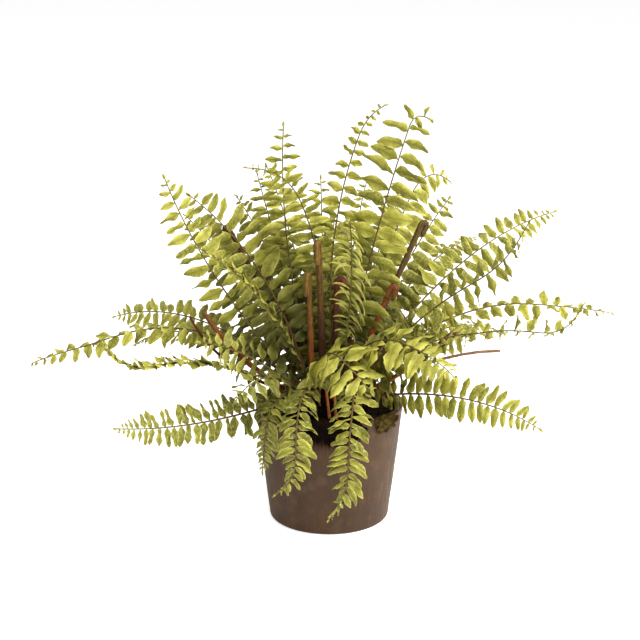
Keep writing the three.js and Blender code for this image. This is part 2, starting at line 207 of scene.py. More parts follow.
def noise_at(tree, vector, scale, detail=2.0, rough=0.5):
    inputs = {"Vector": vector, "Scale": scale, "Detail": detail, "Roughness": rough}
    return add_node(tree, "TexNoise", inputs).outputs["Fac"]


mottling, source, result = effect_group(
    "mottling", {"Vector": None, "Scale": 100.0, "Low": 0.4, "High": 0.6}, ["Mask"])
blotches = noise_at(mottling, source.outputs["Vector"], source.outputs["Scale"], 3.0)
blotches = ranged(mottling, blotches, source.outputs["Low"], source.outputs["High"])
mottling.links.new(blotches, result.inputs["Mask"])

grain, source, result = effect_group("grain", {"Vector": None, "Scale": 900.0}, ["Height", "Specks"])
fine = noise_at(grain, source.outputs["Vector"], source.outputs["Scale"], 4.0, 0.65)
grain.links.new(fine, result.inputs["Height"])
grain.links.new(ranged(grain, fine, 0.56, 0.68), result.inputs["Specks"])

streaks, source, result = effect_group(
    "streaks", {"Vector": None, "Scale": 300.0, "Stretch": 0.05}, ["Mask", "Height"])
stretch = add_node(streaks, "CombineXYZ", {"X": 1.0, "Y": 1.0, "Z": source.outputs["Stretch"]})
squeezed = add_node(streaks, "VectorMath", {0: source.outputs["Vector"], 1: stretch.outputs[0]},
                    operation="MULTIPLY")
lines = noise_at(streaks, squeezed.outputs["Vector"], source.outputs["Scale"], 3.0)
streaks.links.new(lines, result.inputs["Height"])
streaks.links.new(ranged(streaks, lines, 0.42, 0.62), result.inputs["Mask"])

# painted shade: nearness to the crown's dense middle, as a mask for darkening the leaves there
heart, source, result = effect_group(
    "painted_shade_of_crown", {"Vector": None, "Near": 0.04, "Far": 0.14}, ["Mask"])
depth = add_node(heart, "VectorMath", {0: source.outputs["Vector"], 1: (-0.015, 0.03, 0.125)},
                 operation="DISTANCE").outputs["Value"]
depth = ranged(heart, depth, source.outputs["Near"], source.outputs["Far"], 1.0, 0.0)
heart.links.new(depth, result.inputs["Mask"])
print("shared effects:", [group.name for group in bpy.data.node_groups])


# %% Placing an effect in a material
def placed(tree, group, vector, **values):
    made = tree.nodes.new("ShaderNodeGroup")
    made.node_tree = group
    tree.links.new(vector, made.inputs["Vector"])
    for label, value in values.items():
        made.inputs[label.replace("_", " ")].default_value = value
    return made.outputs


def new_finish(name, **shader_values):
    """A material with a Principled shader, and its tree, its shader and its object coordinates."""
    material = bpy.data.materials.new(name)
    material.use_nodes = True
    tree = material.node_tree
    shader = tree.nodes["Principled BSDF"]
    for label, value in shader_values.items():
        shader.inputs[label.replace("_", " ")].default_value = value
    here = add_node(tree, "TexCoord").outputs["Object"]
    return material, tree, shader, here


def bumped(tree, shader, *layers):
    """Feeds the shader's normal from bumps on top of each other, each (height, distance in metres)."""
    normal = None
    for height, distance in layers:
        inputs = {"Height": height, "Distance": distance, "Strength": 1.0}
        if normal:
            inputs["Normal"] = normal
        normal = add_node(tree, "Bump", inputs).outputs["Normal"]
    tree.links.new(normal, shader.inputs["Normal"])


def stored(tree, name):
    """A number that the mesh stores at each of its points."""
    return add_node(tree, "Attribute", attribute_name=name).outputs["Fac"]


print("inputs of the streaks:", [item.name for item in streaks.interface.items_tree
                                 if item.in_out == "INPUT"])

# %% [markdown]
# ## The leaf finish
#
# A leaflet is not one green. It is deepest along its midrib, lighter and yellower at its thin margin
# (partly its own colour and partly a painted highlight), paler underneath, and each leaflet is a little
# older or younger than its neighbour. Painting all that by hand would need an image for each frond. The
# mesh stores it instead: every point knows how far it is along its leaflet (`reach`), how near the
# margin (`margin`), how far along the frond (`age`), which side it is on (`under`), where it is between
# the side veins (`vein`), how much painted shade darkens its frond towards the heart of the crown
# (`shaded`), and a tone of its leaflet.

# %% Leaf finish
leaf, tree, shader, here = new_finish("fern_leaf", Roughness=0.5, Specular_IOR_Level=0.25)
tone, age, margin = (stored(tree, name) for name in ("tone", "age", "margin"))
reach, under, vein = (stored(tree, name) for name in ("reach", "under", "vein"))
blade = ramp(tree, tone, (0.0, (78, 80, 24)), (0.25, (112, 112, 34)),
             (0.5, (152, 148, 50)), (0.8, (182, 178, 64)), (1.0, (204, 198, 84)))
blade = mixed(tree, ranged(tree, age, 0.5, 1.0, 0.0, 0.45), blade, linear((198, 192, 98)))
blotch = placed(tree, mottling, here, Scale=170.0, Low=0.42, High=0.62)["Mask"]
blade = tinted(tree, blade, blotch, 0.55, (116, 114, 34))
freckle = placed(tree, mottling, here, Scale=460.0, Low=0.46, High=0.6)["Mask"]
blade = tinted(tree, blade, freckle, 0.5, (196, 188, 78))
middle = ranged(tree, margin, 0.1, 0.85, 1.0, 0.0)
blade = tinted(tree, blade, middle, 0.4, (108, 108, 32))
midrib = ranged(tree, margin, 0.0, 0.2, 1.0, 0.0)
blade = tinted(tree, blade, midrib, 0.4, (88, 84, 26))
# the pale margin is partly the leaflet's own colour and partly a painted highlight
edge = ranged(tree, margin, 0.72, 1.0)
blade = tinted(tree, blade, edge, 0.7, (214, 208, 118))
wave = math_node(tree, "SINE", math_node(tree, "MULTIPLY", vein, math.tau))
rib = ranged(tree, wave, 0.2, 1.0)
blade = tinted(tree, blade, rib, 0.18, (110, 110, 34))
blade = tinted(tree, blade, under, 0.35, (160, 156, 82))
tipped = math_node(tree, "MULTIPLY", ranged(tree, reach, 0.86, 1.0), ranged(tree, tone, 0.7, 0.9))
blade = tinted(tree, blade, tipped, 0.45, (150, 118, 60))
# painted shade: each leaf darkens towards the crown's dense middle, as much as its frond's shaded says
shade = math_node(tree, "MULTIPLY", placed(tree, heart, here)["Mask"], stored(tree, "shaded"))
blade = tinted(tree, blade, shade, 0.75, (50, 52, 17))
tree.links.new(blade, shader.inputs["Base Color"])
skin_grain = placed(tree, grain, here, Scale=1400.0)["Height"]
tree.links.new(ranged(tree, skin_grain, 0.3, 0.7, 0.42, 0.62), shader.inputs["Roughness"])
bumped(tree, shader, (rib, -0.00012), (skin_grain, 0.00008))
print("leaf finish:", len(tree.nodes), "nodes")

# %% [markdown]
# ## Stems
#
# A frond's midrib is wiry: red-brown and dull where it leaves the crown, and green where it is young.
# The rolled-up young fronds are thicker and ridged lengthwise, tan at the head and orange-brown at the
# foot. All barks read `age`, and the ridges come from streaks that follow the stem: the mesh stores a
# place around and along the stem, because streaks along Z would cut across a stem that leans. Coarse
# specks stand for the small brown scales that cover a young stem.


# %% Stem finishes
def stem_finish(name, stops, darker, green=None):
    """A ridged bark whose colour follows the stops from foot to head, greener where the mesh stores
    less rust."""
    material, tree, shader, here = new_finish(name, Roughness=0.6, Specular_IOR_Level=0.2)
    age = stored(tree, "age")
    around = add_node(tree, "Attribute", attribute_name="around").outputs["Vector"]
    ridge = placed(tree, streaks, around, Scale=1.0, Stretch=0.12)
    bark = ramp(tree, age, *stops)
    if green:
        bark = mixed(tree, stored(tree, "rust"), linear(green), bark)
    bark = tinted(tree, bark, ridge["Mask"], 0.6, darker)
    blotch = placed(tree, mottling, here, Scale=260.0, Low=0.45, High=0.62)["Mask"]
    bark = tinted(tree, bark, blotch, 0.4, darker)
    speck = placed(tree, grain, here, Scale=2200.0)
    bark = tinted(tree, bark, speck["Specks"], 0.25, (196, 160, 104))
    tree.links.new(ranged(tree, speck["Height"], 0.3, 0.7, 0.5, 0.75), shader.inputs["Roughness"])
    scales = placed(tree, grain, here, Scale=700.0)
    bark = tinted(tree, bark, scales["Specks"], 0.5, darker)
    tree.links.new(bark, shader.inputs["Base Color"])
    bumped(tree, shader, (ridge["Height"], 0.0005), (scales["Height"], 0.0006),
           (speck["Height"], 0.0001))
    print(name + ":", len(tree.nodes), "nodes")
    return material


# %% Barks
# Each bark has its colours from foot to head, and the darker one of its furrows and scales.
BARKS = {
    "crozier_tan": ([(0.0, (168, 76, 26)), (0.35, (146, 76, 28)), (0.7, (112, 82, 28)),
                     (1.0, (122, 96, 36))], (72, 48, 20)),
    "crozier_brown": ([(0.0, (54, 26, 14)), (0.4, (72, 38, 16)), (0.7, (114, 80, 28)),
                       (1.0, (130, 100, 38))], (50, 32, 14)),
    "crozier_olive": ([(0.0, (76, 44, 20)), (0.5, (82, 58, 24)), (0.85, (92, 70, 27)),
                       (1.0, (104, 82, 34))], (50, 36, 16)),
    "crozier_red": ([(0.0, (156, 76, 28)), (0.5, (148, 76, 28)), (0.85, (132, 76, 30)),
                     (1.0, (118, 80, 36))], (84, 38, 16)),
    "crozier_dark": ([(0.0, (84, 40, 20)), (0.6, (70, 32, 18)), (0.85, (100, 44, 26)),
                      (1.0, (110, 52, 30))], (50, 24, 14)),
    # painted light: the old stalk bases are a brighter orange, which stands for light on them where the
    # front fronds shade them
    "stalk_base_painted_light": ([(0.0, (226, 134, 72)), (1.0, (232, 140, 78))], (150, 78, 40)),
    "cut_stalk": ([(0.0, (150, 84, 44)), (0.4, (158, 104, 72)), (1.0, (172, 134, 104))],
                  (112, 78, 52)),
}
rachis_bark = stem_finish(
    "frond_rachis",
    [(0.0, (176, 92, 42)), (0.12, (150, 80, 38)), (0.3, (98, 58, 34)), (0.65, (104, 88, 40)),
     (1.0, (150, 146, 66))],
    (66, 44, 24), green=(112, 106, 44))
barks = {name: stem_finish(name, stops, darker) for name, (stops, darker) in BARKS.items()}
print(1 + len(barks), "barks")

# %% [markdown]
# ## Clay, soil, fibre and moss
#
# The pot is unglazed clay under a dull dark wash: no lip and no shine, with faint upright brush marks,
# blotches where it has dried paler, a little dust (sheen) that lightens the sides that turn away, and
# worn spots along the rim and the foot. *Pointiness* finds those edges on the mesh itself, so the wear
# stays on them. Soil, roots and moss are near-black to olive-brown and quite matte, so their finishes
# are mostly speckle and bump. The roots that lie over the rim are darker than the crown's fibres, and
# the hairs that hang from them are red-brown.

# %% Clay finish
clay, tree, shader, here = new_finish("pot_clay", Specular_IOR_Level=0.35, Sheen_Weight=0.18,
                                      Sheen_Roughness=0.4, Sheen_Tint=(1, 0.76, 0.56, 1))
brushed = placed(tree, streaks, here, Scale=400.0, Stretch=0.07)
wash = mixed(tree, brushed["Mask"], linear((70, 47, 25)), linear((80, 55, 30)))
broad = placed(tree, mottling, here, Scale=30.0, Low=0.4, High=0.62)["Mask"]
wash = tinted(tree, wash, broad, 0.7, (62, 41, 23))
patch = placed(tree, mottling, here, Scale=75.0, Low=0.5, High=0.72)["Mask"]
wash = tinted(tree, wash, patch, 0.4, (102, 73, 45))
pitted = placed(tree, grain, here, Scale=1500.0)
wash = tinted(tree, wash, pitted["Specks"], 0.3, (128, 104, 80))
pointed = add_node(tree, "NewGeometry").outputs["Pointiness"]
worn = math_node(tree, "MULTIPLY", ranged(tree, pointed, 0.52, 0.6), patch)
wash = tinted(tree, wash, worn, 0.6, (156, 130, 106))
tree.links.new(wash, shader.inputs["Base Color"])
tree.links.new(ranged(tree, brushed["Height"], 0.35, 0.65, 0.56, 0.74), shader.inputs["Roughness"])
bumped(tree, shader, (brushed["Height"], 0.0003), (pitted["Height"], 0.00012))
print("clay finish:", len(tree.nodes), "nodes")


# %% Earthy finishes
def earthy_finish(name, dark, middle, light, speckle, scale):
    """A matte finish of three mottled shades with fine light specks."""
    material, tree, shader, here = new_finish(name, Roughness=0.95, Specular_IOR_Level=0.05)
    clods = placed(tree, mottling, here, Scale=scale, Low=0.38, High=0.62)["Mask"]
    earth = mixed(tree, clods, linear(dark), linear(middle))
    patches = placed(tree, mottling, here, Scale=scale * 0.3, Low=0.48, High=0.68)["Mask"]
    earth = tinted(tree, earth, patches, 0.5, light)
    fine = placed(tree, grain, here, Scale=scale * 6)
    earth = tinted(tree, earth, fine["Specks"], speckle, light)
    tree.links.new(earth, shader.inputs["Base Color"])
    tree.links.new(ranged(tree, fine["Height"], 0.3, 0.7, 0.82, 1.0), shader.inputs["Roughness"])
    bumped(tree, shader, (clods, 0.0005), (fine["Height"], 0.0004))
    print(name + ":", len(tree.nodes), "nodes")
    return material


peat = earthy_finish("potting_soil", (22, 16, 11), (34, 25, 17), (62, 47, 32), 0.35, 240.0)
fibre = earthy_finish("crown_fibre", (18, 12, 8), (28, 18, 12), (64, 38, 22), 0.25, 300.0)
mat_fibre = earthy_finish("mat_fibre", (12, 8, 5), (20, 13, 9), (40, 24, 15), 0.2, 300.0)
root_hair = earthy_finish("root_hair", (58, 28, 16), (86, 42, 22), (110, 60, 34), 0.25, 300.0)
moss = earthy_finish("moss", (38, 29, 13), (68, 53, 24), (108, 92, 42), 0.4, 320.0)

# %% [markdown]
# ## From points to pieces
#
# Everything here is skinned in the same way: rings of points, one after another, joined by faces and
# closed at both ends. A stem is a row of round rings, the pot is rings turned about an axis, and a
# leaflet is a row of flat ones. Modelling each leaflet by hand would take days, and a particle system
# would repeat one leaf without bending it to its own frond. With arrays, hundreds of leaflets cost as
# much code as one.


# %% Skinning rings
def ring_faces(count, sides):
    """Faces that join `count` rings of `sides` points, with a cap on each end."""
    faces = []
    for ring in range(count - 1):
        for side in range(sides):
            here, there = ring * sides + side, ring * sides + (side + 1) % sides
            faces.append((here, there, there + sides, here + sides))
    faces.append(tuple(reversed(range(sides))))
    faces.append(tuple(range((count - 1) * sides, count * sides)))
    return faces


print("three rings of four points:", len(ring_faces(3, 4)), "faces")


# %% Collecting parts
def signed_volume(points, faces):
    """Six times the volume that the faces enclose, negative if they face inwards."""
    total = 0.0
    for face in faces:
        corners = points[list(face)]
        fan = np.cross(corners[1:-1], corners[2:])
        total += float((fan @ corners[0]).sum())
    return total


class Parts:
    """Points, faces and stored numbers of one piece, collected part by part."""

    def __init__(self):
        self.points, self.faces, self.slots, self.values, self.count = [], [], [], [], 0

    def add(self, points, faces, slot=0, **values):
        """points is (n, 3). Each value is one number, or one for each point."""
        self.points.append(points)
        self.faces.extend([tuple(corner + self.count for corner in face) for face in faces])
        self.slots.extend([slot] * len(faces))
        self.values.append((len(points), values))
        self.count += len(points)

    def stored(self, name, width=1):
        """One stored number, or a vector of `width`, for every point of the piece, in one row."""
        rows = [np.broadcast_to(values.get(name, 0.0), (count, width) if width > 1 else count)
                for count, values in self.values]
        return np.concatenate(rows).astype(np.float32).ravel()


# %% From parts to a piece
def make_piece(name, parts, materials, sharp=40.0):
    """Turns parts, in metres, into the piece that stands for the CAD node of the same name."""
    mesh = bpy.data.meshes.new(name)
    points = np.concatenate(parts.points)
    mesh.from_pydata(points.tolist(), [], parts.faces)
    for material in materials:
        mesh.materials.append(material)
    mesh.polygons.foreach_set("material_index", parts.slots)
    mesh.polygons.foreach_set("use_smooth", [True] * len(mesh.polygons))
    names = {key for _, values in parts.values for key in values}
    for key in sorted(names - {"around"}):
        mesh.attributes.new(key, "FLOAT", "POINT").data.foreach_set("value", parts.stored(key))
    if "around" in names:
        around = mesh.attributes.new("around", "FLOAT_VECTOR", "POINT")
        around.data.foreach_set("vector", parts.stored("around", 3))
    mesh.set_sharp_from_angle(angle=math.radians(sharp))
    piece = link(bpy.data.objects.new(name + "_look", mesh))
    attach(piece, "root")
    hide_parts(name)
    return piece


# %% [markdown]
# ## The pot
#
# The pot is a plain tapered cup. Its outline is turned about the Z axis, as on a wheel. A perfect turn
# looks like plastic, so the clay is pushed in and out a few tenths of a millimetre: broadly where
# hands pressed it, and in shallow upright strokes where it was brushed.

# %% Pot
# All in millimetres. The clay is set back a little, so that its bumps stay inside the CAD pot.
POT = {"height": 100, "rim": 62.5, "base": 50.5, "wall": 5, "floor": 6, "edge": 3, "bevel": 1.2}
SET_BACK = 0.25
POT_SIDES = 160
SOIL_TOP = 94.0


def wall_radius(z):
    """The pot's outer radius at a height, both in millimetres."""
    return POT["base"] + (POT["rim"] - POT["base"]) * z / POT["height"]


def pot_outline():
    height, wall, edge, bevel = (POT[key] for key in ("height", "wall", "edge", "bevel"))
    turn = np.radians(np.linspace(0, 90, 7))
    corner = wall_radius(edge) - edge
    foot = [(corner + edge * math.sin(a), edge - edge * math.cos(a)) for a in turn]
    side = [(wall_radius(z), z) for z in np.linspace(edge + 3, height - bevel, 30)]
    outside = [(wall_radius(height) - bevel + bevel * math.cos(a), height - bevel + bevel * math.sin(a))
               for a in turn[1:]]
    inside = [(wall_radius(height) - wall + bevel - bevel * math.sin(a),
               height - bevel + bevel * math.cos(a)) for a in turn]
    bore = [(wall_radius(z) - wall, z) for z in np.linspace(height - 4, POT["floor"], 8)]
    return [(8, 0), (30, 0), *foot, *side, *outside, *inside, *bore, (8, POT["floor"])]


def about_axis(radius, angle, height):
    """Points, or directions, at a radius, an angle about the Z axis, and a height."""
    return np.stack([radius * np.cos(angle), radius * np.sin(angle), height], axis=-1)


def turned(outline, sides):
    """Rings of points, in millimetres, for an outline of (radius, height) turned about Z."""
    outline = np.array(outline, float)
    angle = np.linspace(0, math.tau, sides, endpoint=False)
    return about_axis(outline[:, 0, None], angle, outline[:, 1, None] + 0 * angle)


def rough_at(points, scale, octaves=3, seed=0.0):
    """Fractal noise of about -1 to 1 at each of the points."""
    shift = Vector((seed, seed * 1.7, seed * 0.6))
    flat = points.reshape(-1, 3)
    values = [noise.fractal(Vector(p) * scale + shift, 1.0, 2.0, octaves) for p in flat]
    return np.array(values).reshape(points.shape[:-1])


rings = turned(pot_outline(), POT_SIDES)
level = rings[..., 2]
free = np.clip(level / 8, 0, 1) * (rings[..., :2] ** 2).sum(-1) ** 0.5 / POT["rim"]
pressed = 0.35 * rough_at(rings, 0.02, 2, 3.0)
stroked = 0.16 * rough_at(rings * (1, 1, 0.08), 0.22, 3, 9.0)
out = rings[..., :2] / np.linalg.norm(rings[..., :2], axis=-1, keepdims=True)
rings[..., :2] += out * (np.clip(free, 0, 1) * (pressed + stroked) - SET_BACK)[..., None]
pot_parts = Parts()
pot_parts.add(rings.reshape(-1, 3) * MM, ring_faces(len(rings), POT_SIDES))
pot_piece = make_piece("pot", pot_parts, [clay], sharp=60)
print("pot:", len(pot_piece.data.polygons), "faces, outward:",
      signed_volume(np.concatenate(pot_parts.points), pot_parts.faces) > 0)

# %% [markdown]
# ## Soil and crown
#
# Soil seen from a hand's width away is crumbs on a lumpy bed. The bed is a disc of rings pushed up and
# down by noise, and the crumbs are a few hundred small uneven lumps pressed into it. The crown, where
# all stems come from, is a low mound with a coat of brown fibres. Each fibre is a thin tapering tube of
# three sides, which is enough at half a millimetre. Sculpted soil would look as good in one place, but
# crumbs from a formula lie as loosely everywhere. Two short orange bases of old stalks stand up at the
# crown's front, painted a brighter orange as painted light where the front fronds shade them.


# %% Lumps and fibres
def lump_template():
    """A small six-sided ball: points on four rings, and its faces."""
    heights = np.radians([-65, -20, 25, 68])
    rings = [[(math.cos(h) * math.cos(a), math.cos(h) * math.sin(a), math.sin(h))
              for a in np.linspace(0, math.tau, 6, endpoint=False)] for h in heights]
    return np.array(rings).reshape(-1, 3), ring_faces(4, 6)


def add_crumbs(parts, centres, sizes, rng):
    """Adds an uneven lump, in millimetres, at each centre."""
    ball, faces = lump_template()
    for centre, size in zip(centres, sizes):
        uneven = ball * rng.uniform(0.6, 1.25, (len(ball), 1)) * rng.uniform(0.7, 1.2, 3)
        parts.add((centre + uneven * size) * MM, faces)


def unit(vectors):
    """The vectors, each brought to a length of 1."""
    return vectors / np.maximum(np.linalg.norm(vectors, axis=-1, keepdims=True), 1e-9)


THIRDS = (0, 2.094, 4.189)  # thirds of a turn, in radians


def add_fibres(parts, starts, directions, lengths, width, droop, rng, slot=0, segments=5):
    """Adds thin tapering tubes, in millimetres, that set out in a direction and droop."""
    faces = ring_faces(segments + 1, 3)
    share = np.linspace(0, 1, segments + 1)
    corners = np.array([(math.cos(a), math.sin(a)) for a in THIRDS])
    for start, direction, length in zip(starts, directions, lengths):
        side = np.cross(direction, (0.3, 0.5, 0.8))
        side /= np.linalg.norm(side)
        up = np.cross(side, direction)
        sway = rng.normal(0, 0.16, 2)
        path = start + np.outer(share * length, direction)
        path += np.outer(length * share ** 2, side * sway[0] + up * sway[1])
        path[:, 2] -= droop * length * share ** 2
        radius = width * rng.uniform(0.7, 1.3) * (1 - 0.8 * share)
        ring = corners[:, 0, None] * side + corners[:, 1, None] * up
        rings = path[:, None] + radius[:, None, None] * ring
        parts.add(rings.reshape(-1, 3) * MM, faces, slot)


def tube(points, wide, high, radius, sides):
    """Rings round a line. wide and high span each ring; radius may be (rings,) or (rings, sides)."""
    angle = np.linspace(0, math.tau, sides, endpoint=False)
    radius = np.broadcast_to(np.asarray(radius).reshape(len(points), -1), (len(points), sides))
    ring = wide[:, None] * np.cos(angle)[:, None] - high[:, None] * np.sin(angle)[:, None]
    return points[:, None] + ring * radius[..., None]


print("a crumb has", len(lump_template()[0]), "points")


# %% Soil
SOIL_SIDES, CRUMBS = 96, 700
BANK_FOOT, BANK_WIDTH, BANK_RISE = 34, 14, 2.4  # the soil is level to the foot, then rises to the wall


def soil_level(radius):
    return SOIL_TOP + BANK_RISE * np.clip((radius - BANK_FOOT) / BANK_WIDTH, 0, 1)


def soil_outline():
    """The bed's top from the rim to the middle, and its underside, as (radius, height)."""
    inside = wall_radius(SOIL_TOP) - POT["wall"] - 0.3
    deep = POT["floor"] + 0.3
    side = [(8, deep), (wall_radius(deep) - POT["wall"] - 0.4, deep)]
    side += [(wall_radius(z) - POT["wall"] - 0.4, z) for z in (30, 60, 85, SOIL_TOP + 0.5)]
    shoulder = [(inside - 1.5, SOIL_TOP + 1.6), (inside - 4, SOIL_TOP + BANK_RISE)]
    return side + shoulder + [(r, soil_level(r)) for r in np.linspace(inside - 6, 2, 34)]


rng = np.random.default_rng(41)
soil_parts = Parts()
bed = turned(soil_outline(), SOIL_SIDES)
top = np.clip((bed[..., 2] - SOIL_TOP) * 4 + 1, 0, 1)
bed[..., 2] += top * (0.9 * rough_at(bed, 0.22, 4, 5.0) - 0.3)
soil_parts.add(bed.reshape(-1, 3) * MM, ring_faces(len(bed), SOIL_SIDES))
crumb_radius = 56.0 * np.sqrt(rng.uniform(0.12, 0.98, CRUMBS))
crumbs = about_axis(crumb_radius, rng.uniform(0, math.tau, CRUMBS), soil_level(crumb_radius))
add_crumbs(soil_parts, crumbs, rng.uniform(0.5, 1.5, CRUMBS), rng)
soil_piece = make_piece("soil", soil_parts, [peat], sharp=35)
print("soil:", len(soil_piece.data.polygons), "faces")

# %% Crown
CROWN_RADIUS, CROWN_HEIGHT, CROWN_SIDES = 30.0, 9.0, 72
FIBRES = 420
crown_parts = Parts()
slope = np.radians(np.linspace(0, 86, 20))
mound_outline = [(6, SOIL_TOP + 0.3), (27, SOIL_TOP + 0.3)]
mound_outline += [(CROWN_RADIUS * math.cos(a) ** 0.9, SOIL_TOP + 2 + (CROWN_HEIGHT - 2) * math.sin(a))
                  for a in slope]
mound = turned(mound_outline, CROWN_SIDES)
raised = np.clip((mound[..., 2] - SOIL_TOP - 1) / 2, 0, 1)
mound[..., 2] += raised * (1.6 * rough_at(mound, 0.16, 4, 2.0) - 0.4)
crown_parts.add(mound.reshape(-1, 3) * MM, ring_faces(len(mound), CROWN_SIDES))
azimuth = rng.uniform(0, math.tau, FIBRES)
spread = CROWN_RADIUS * np.sqrt(rng.uniform(0.05, 0.95, FIBRES))
height = SOIL_TOP + 1.5 + (CROWN_HEIGHT - 2) * np.sqrt(1 - (spread / CROWN_RADIUS) ** 2)
outward = about_axis(1, azimuth, rng.uniform(0.1, 1.4, FIBRES))
outward[:, :2] += rng.normal(0, 0.5, (FIBRES, 2))
add_fibres(crown_parts, about_axis(spread, azimuth, height), unit(outward),
           rng.uniform(5, 14, FIBRES), 0.32, 0.5, rng)

# %% Old stalk bases
STALK_BASES = [(0.5, -38, -3, 26), (5.6, -37, -1.5, 24)]  # foot x, foot y, lean to the side, height
BASE_RINGS = BASE_SIDES = 12
for x, y, lean, tall in STALK_BASES:
    share = np.linspace(0, 1, BASE_RINGS)
    spine = np.array([x, y, SOIL_TOP + 1.0]) + share[:, None] * (lean, 5, tall)
    flare = 1.15 + 0.35 * (1 - share) ** 3
    wide, high = (np.tile(way, (BASE_RINGS, 1)) for way in ((1.0, 0, 0), (0, 1.0, 0)))
    base = tube(spine, wide, high, flare, BASE_SIDES)
    crown_parts.add(base.reshape(-1, 3) * MM, ring_faces(BASE_RINGS, BASE_SIDES), 1,
                    age=np.repeat(share * 0.2, BASE_SIDES))
crown_piece = make_piece("crown", crown_parts, [fibre, barks["stalk_base_painted_light"]], sharp=50)
print("crown:", FIBRES, "fibres,", len(crown_piece.data.polygons), "faces")

# %% [markdown]
# ## Roots and moss on the rim
#
# At the front a mat of roots has crept over the rim, with a few red-brown hairs hanging down the clay,
# and a cushion of moss sits to its right. Both are rounded lumps, made uneven by noise, in a coat of
# fine fibres: tangled ones on the mat, and short upright ones on the moss. A hair system could grow
# them too, but then they would be curves beside the mesh, and not part of the piece. Whatever would
# reach into the clay is pushed out to its surface, so the lumps lie on the rim as soft things do.


# %% Keeping clear of the clay
def clear_of_pot(points, air=0.5):
    """Moves points, in millimetres, that are inside the pot's wall out over its side or its rim."""
    radius = np.linalg.norm(points[:, :2], axis=1)
    outer = wall_radius(points[:, 2]) + air
    inner = outer - POT["wall"] - 2 * air
    over = POT["height"] + air - points[:, 2]
    beyond = outer - radius
    inside = (beyond > 0) & (over > 0) & (radius > inner)
    sideways = inside & (beyond <= over)
    upwards = inside & ~sideways
    moved = points.copy()
    moved[sideways, :2] *= (outer / np.maximum(radius, 1e-6))[sideways, None]
    moved[upwards, 2] = POT["height"] + air
    return moved


in_clay = np.array([[wall_radius(50.0) - 1, 0, 50]])
print("a point in the wall moves out by", float(np.abs(clear_of_pot(in_clay) - in_clay).max()), "mm")


# %% Cushions on the rim
CUSHION_RINGS, CUSHION_SIDES = 22, 40


def rotation(angle, first, second):
    """A matrix that turns the first axis towards the second."""
    matrix = np.eye(3)
    matrix[first, first] = matrix[second, second] = math.cos(angle)
    matrix[first, second], matrix[second, first] = -math.sin(angle), math.sin(angle)
    return matrix


def cushion(azimuth, radius, z, size, tilt, seed, lumpy=0.28):
    """A lumpy flattened ball on the rim: its points in millimetres, its faces and its outward ways."""
    latitudes = np.radians(np.linspace(-88, 88, CUSHION_RINGS))
    rings = turned([(max(0.08, math.cos(a)), math.sin(a)) for a in latitudes], CUSHION_SIDES)
    rings *= 1 + lumpy * rough_at(rings, 2.4, 4, seed)[..., None]
    ball = rings.reshape(-1, 3)
    tip, spin = rotation(math.radians(tilt), 1, 2), rotation(math.radians(azimuth + 90), 0, 1)
    points = ball * size @ tip.T @ spin.T + about_axis(radius, math.radians(azimuth), z)
    return clear_of_pot(points), ring_faces(CUSHION_RINGS, CUSHION_SIDES), unit(ball) @ tip.T @ spin.T


# %% Root mat
COAT, HAIRS = 1400, 60
mat_parts = Parts()
points, faces, ways = cushion(272, 59.5, 95.5, (25.5, 8.5, 10.5), 16, 4.0)
mat_parts.add(points * MM, faces)
chosen = rng.choice(len(points), COAT)
tangled = unit(ways[chosen] + rng.normal(0, 0.8, (COAT, 3)))
add_fibres(mat_parts, points[chosen] - 0.4 * ways[chosen], tangled,
           rng.uniform(1.5, 5, COAT), 0.2, 0.5, rng)
hair_azimuth = np.radians(rng.uniform(254, 290, HAIRS))
hair_starts = about_axis(63.0, hair_azimuth, rng.uniform(86, 95, HAIRS))
down = about_axis(0.1, hair_azimuth, -np.ones(HAIRS))
down[:, 0] += rng.normal(0, 0.3, HAIRS)
add_fibres(mat_parts, hair_starts, unit(down), rng.uniform(4, 15, HAIRS), 0.24, 0.0, rng,
           slot=1, segments=7)
mat_piece = make_piece("root_mat", mat_parts, [mat_fibre, root_hair], sharp=50)
print("root mat:", len(mat_piece.data.polygons), "faces")

# %% Moss
MOSS_TIPS = 700
moss_parts = Parts()
points, faces, ways = cushion(319, 61, 95.5, (12, 4.5, 6.5), 20, 8.0, lumpy=0.5)
moss_parts.add(points * MM, faces)
chosen = rng.choice(len(points), MOSS_TIPS)
add_fibres(moss_parts, points[chosen] - ways[chosen] * 0.5, ways[chosen],
           rng.uniform(0.6, 1.7, MOSS_TIPS), 0.28, 0.15, rng, segments=2)
moss_piece = make_piece("moss_right", moss_parts, [moss], sharp=50)
print("moss:", len(moss_piece.data.polygons), "faces")

# %% [markdown]
# ## How a frond grows
#
# A frond's midrib is a line with a heading and a pitch that change along it. It leaves the crown
# steeply, arches over, and may turn aside or curl near the tip. Two angles at each step give a whole
# curve, which is how a plant grows and is far easier to steer than a handful of curve handles. The CAD
# model uses the same rule and the same numbers, so the leaves here lie where its blades are.

# %% Growth line
STEPS = 96
SPRING_PITCH, SPRING_SHARE = 78.0, 0.14  # how steeply it leaves the crown, for what share of it
HANG = -82.0  # the steepest that a frond droops
FOOT_LEVEL = SOIL_TOP + 0.3 + 5


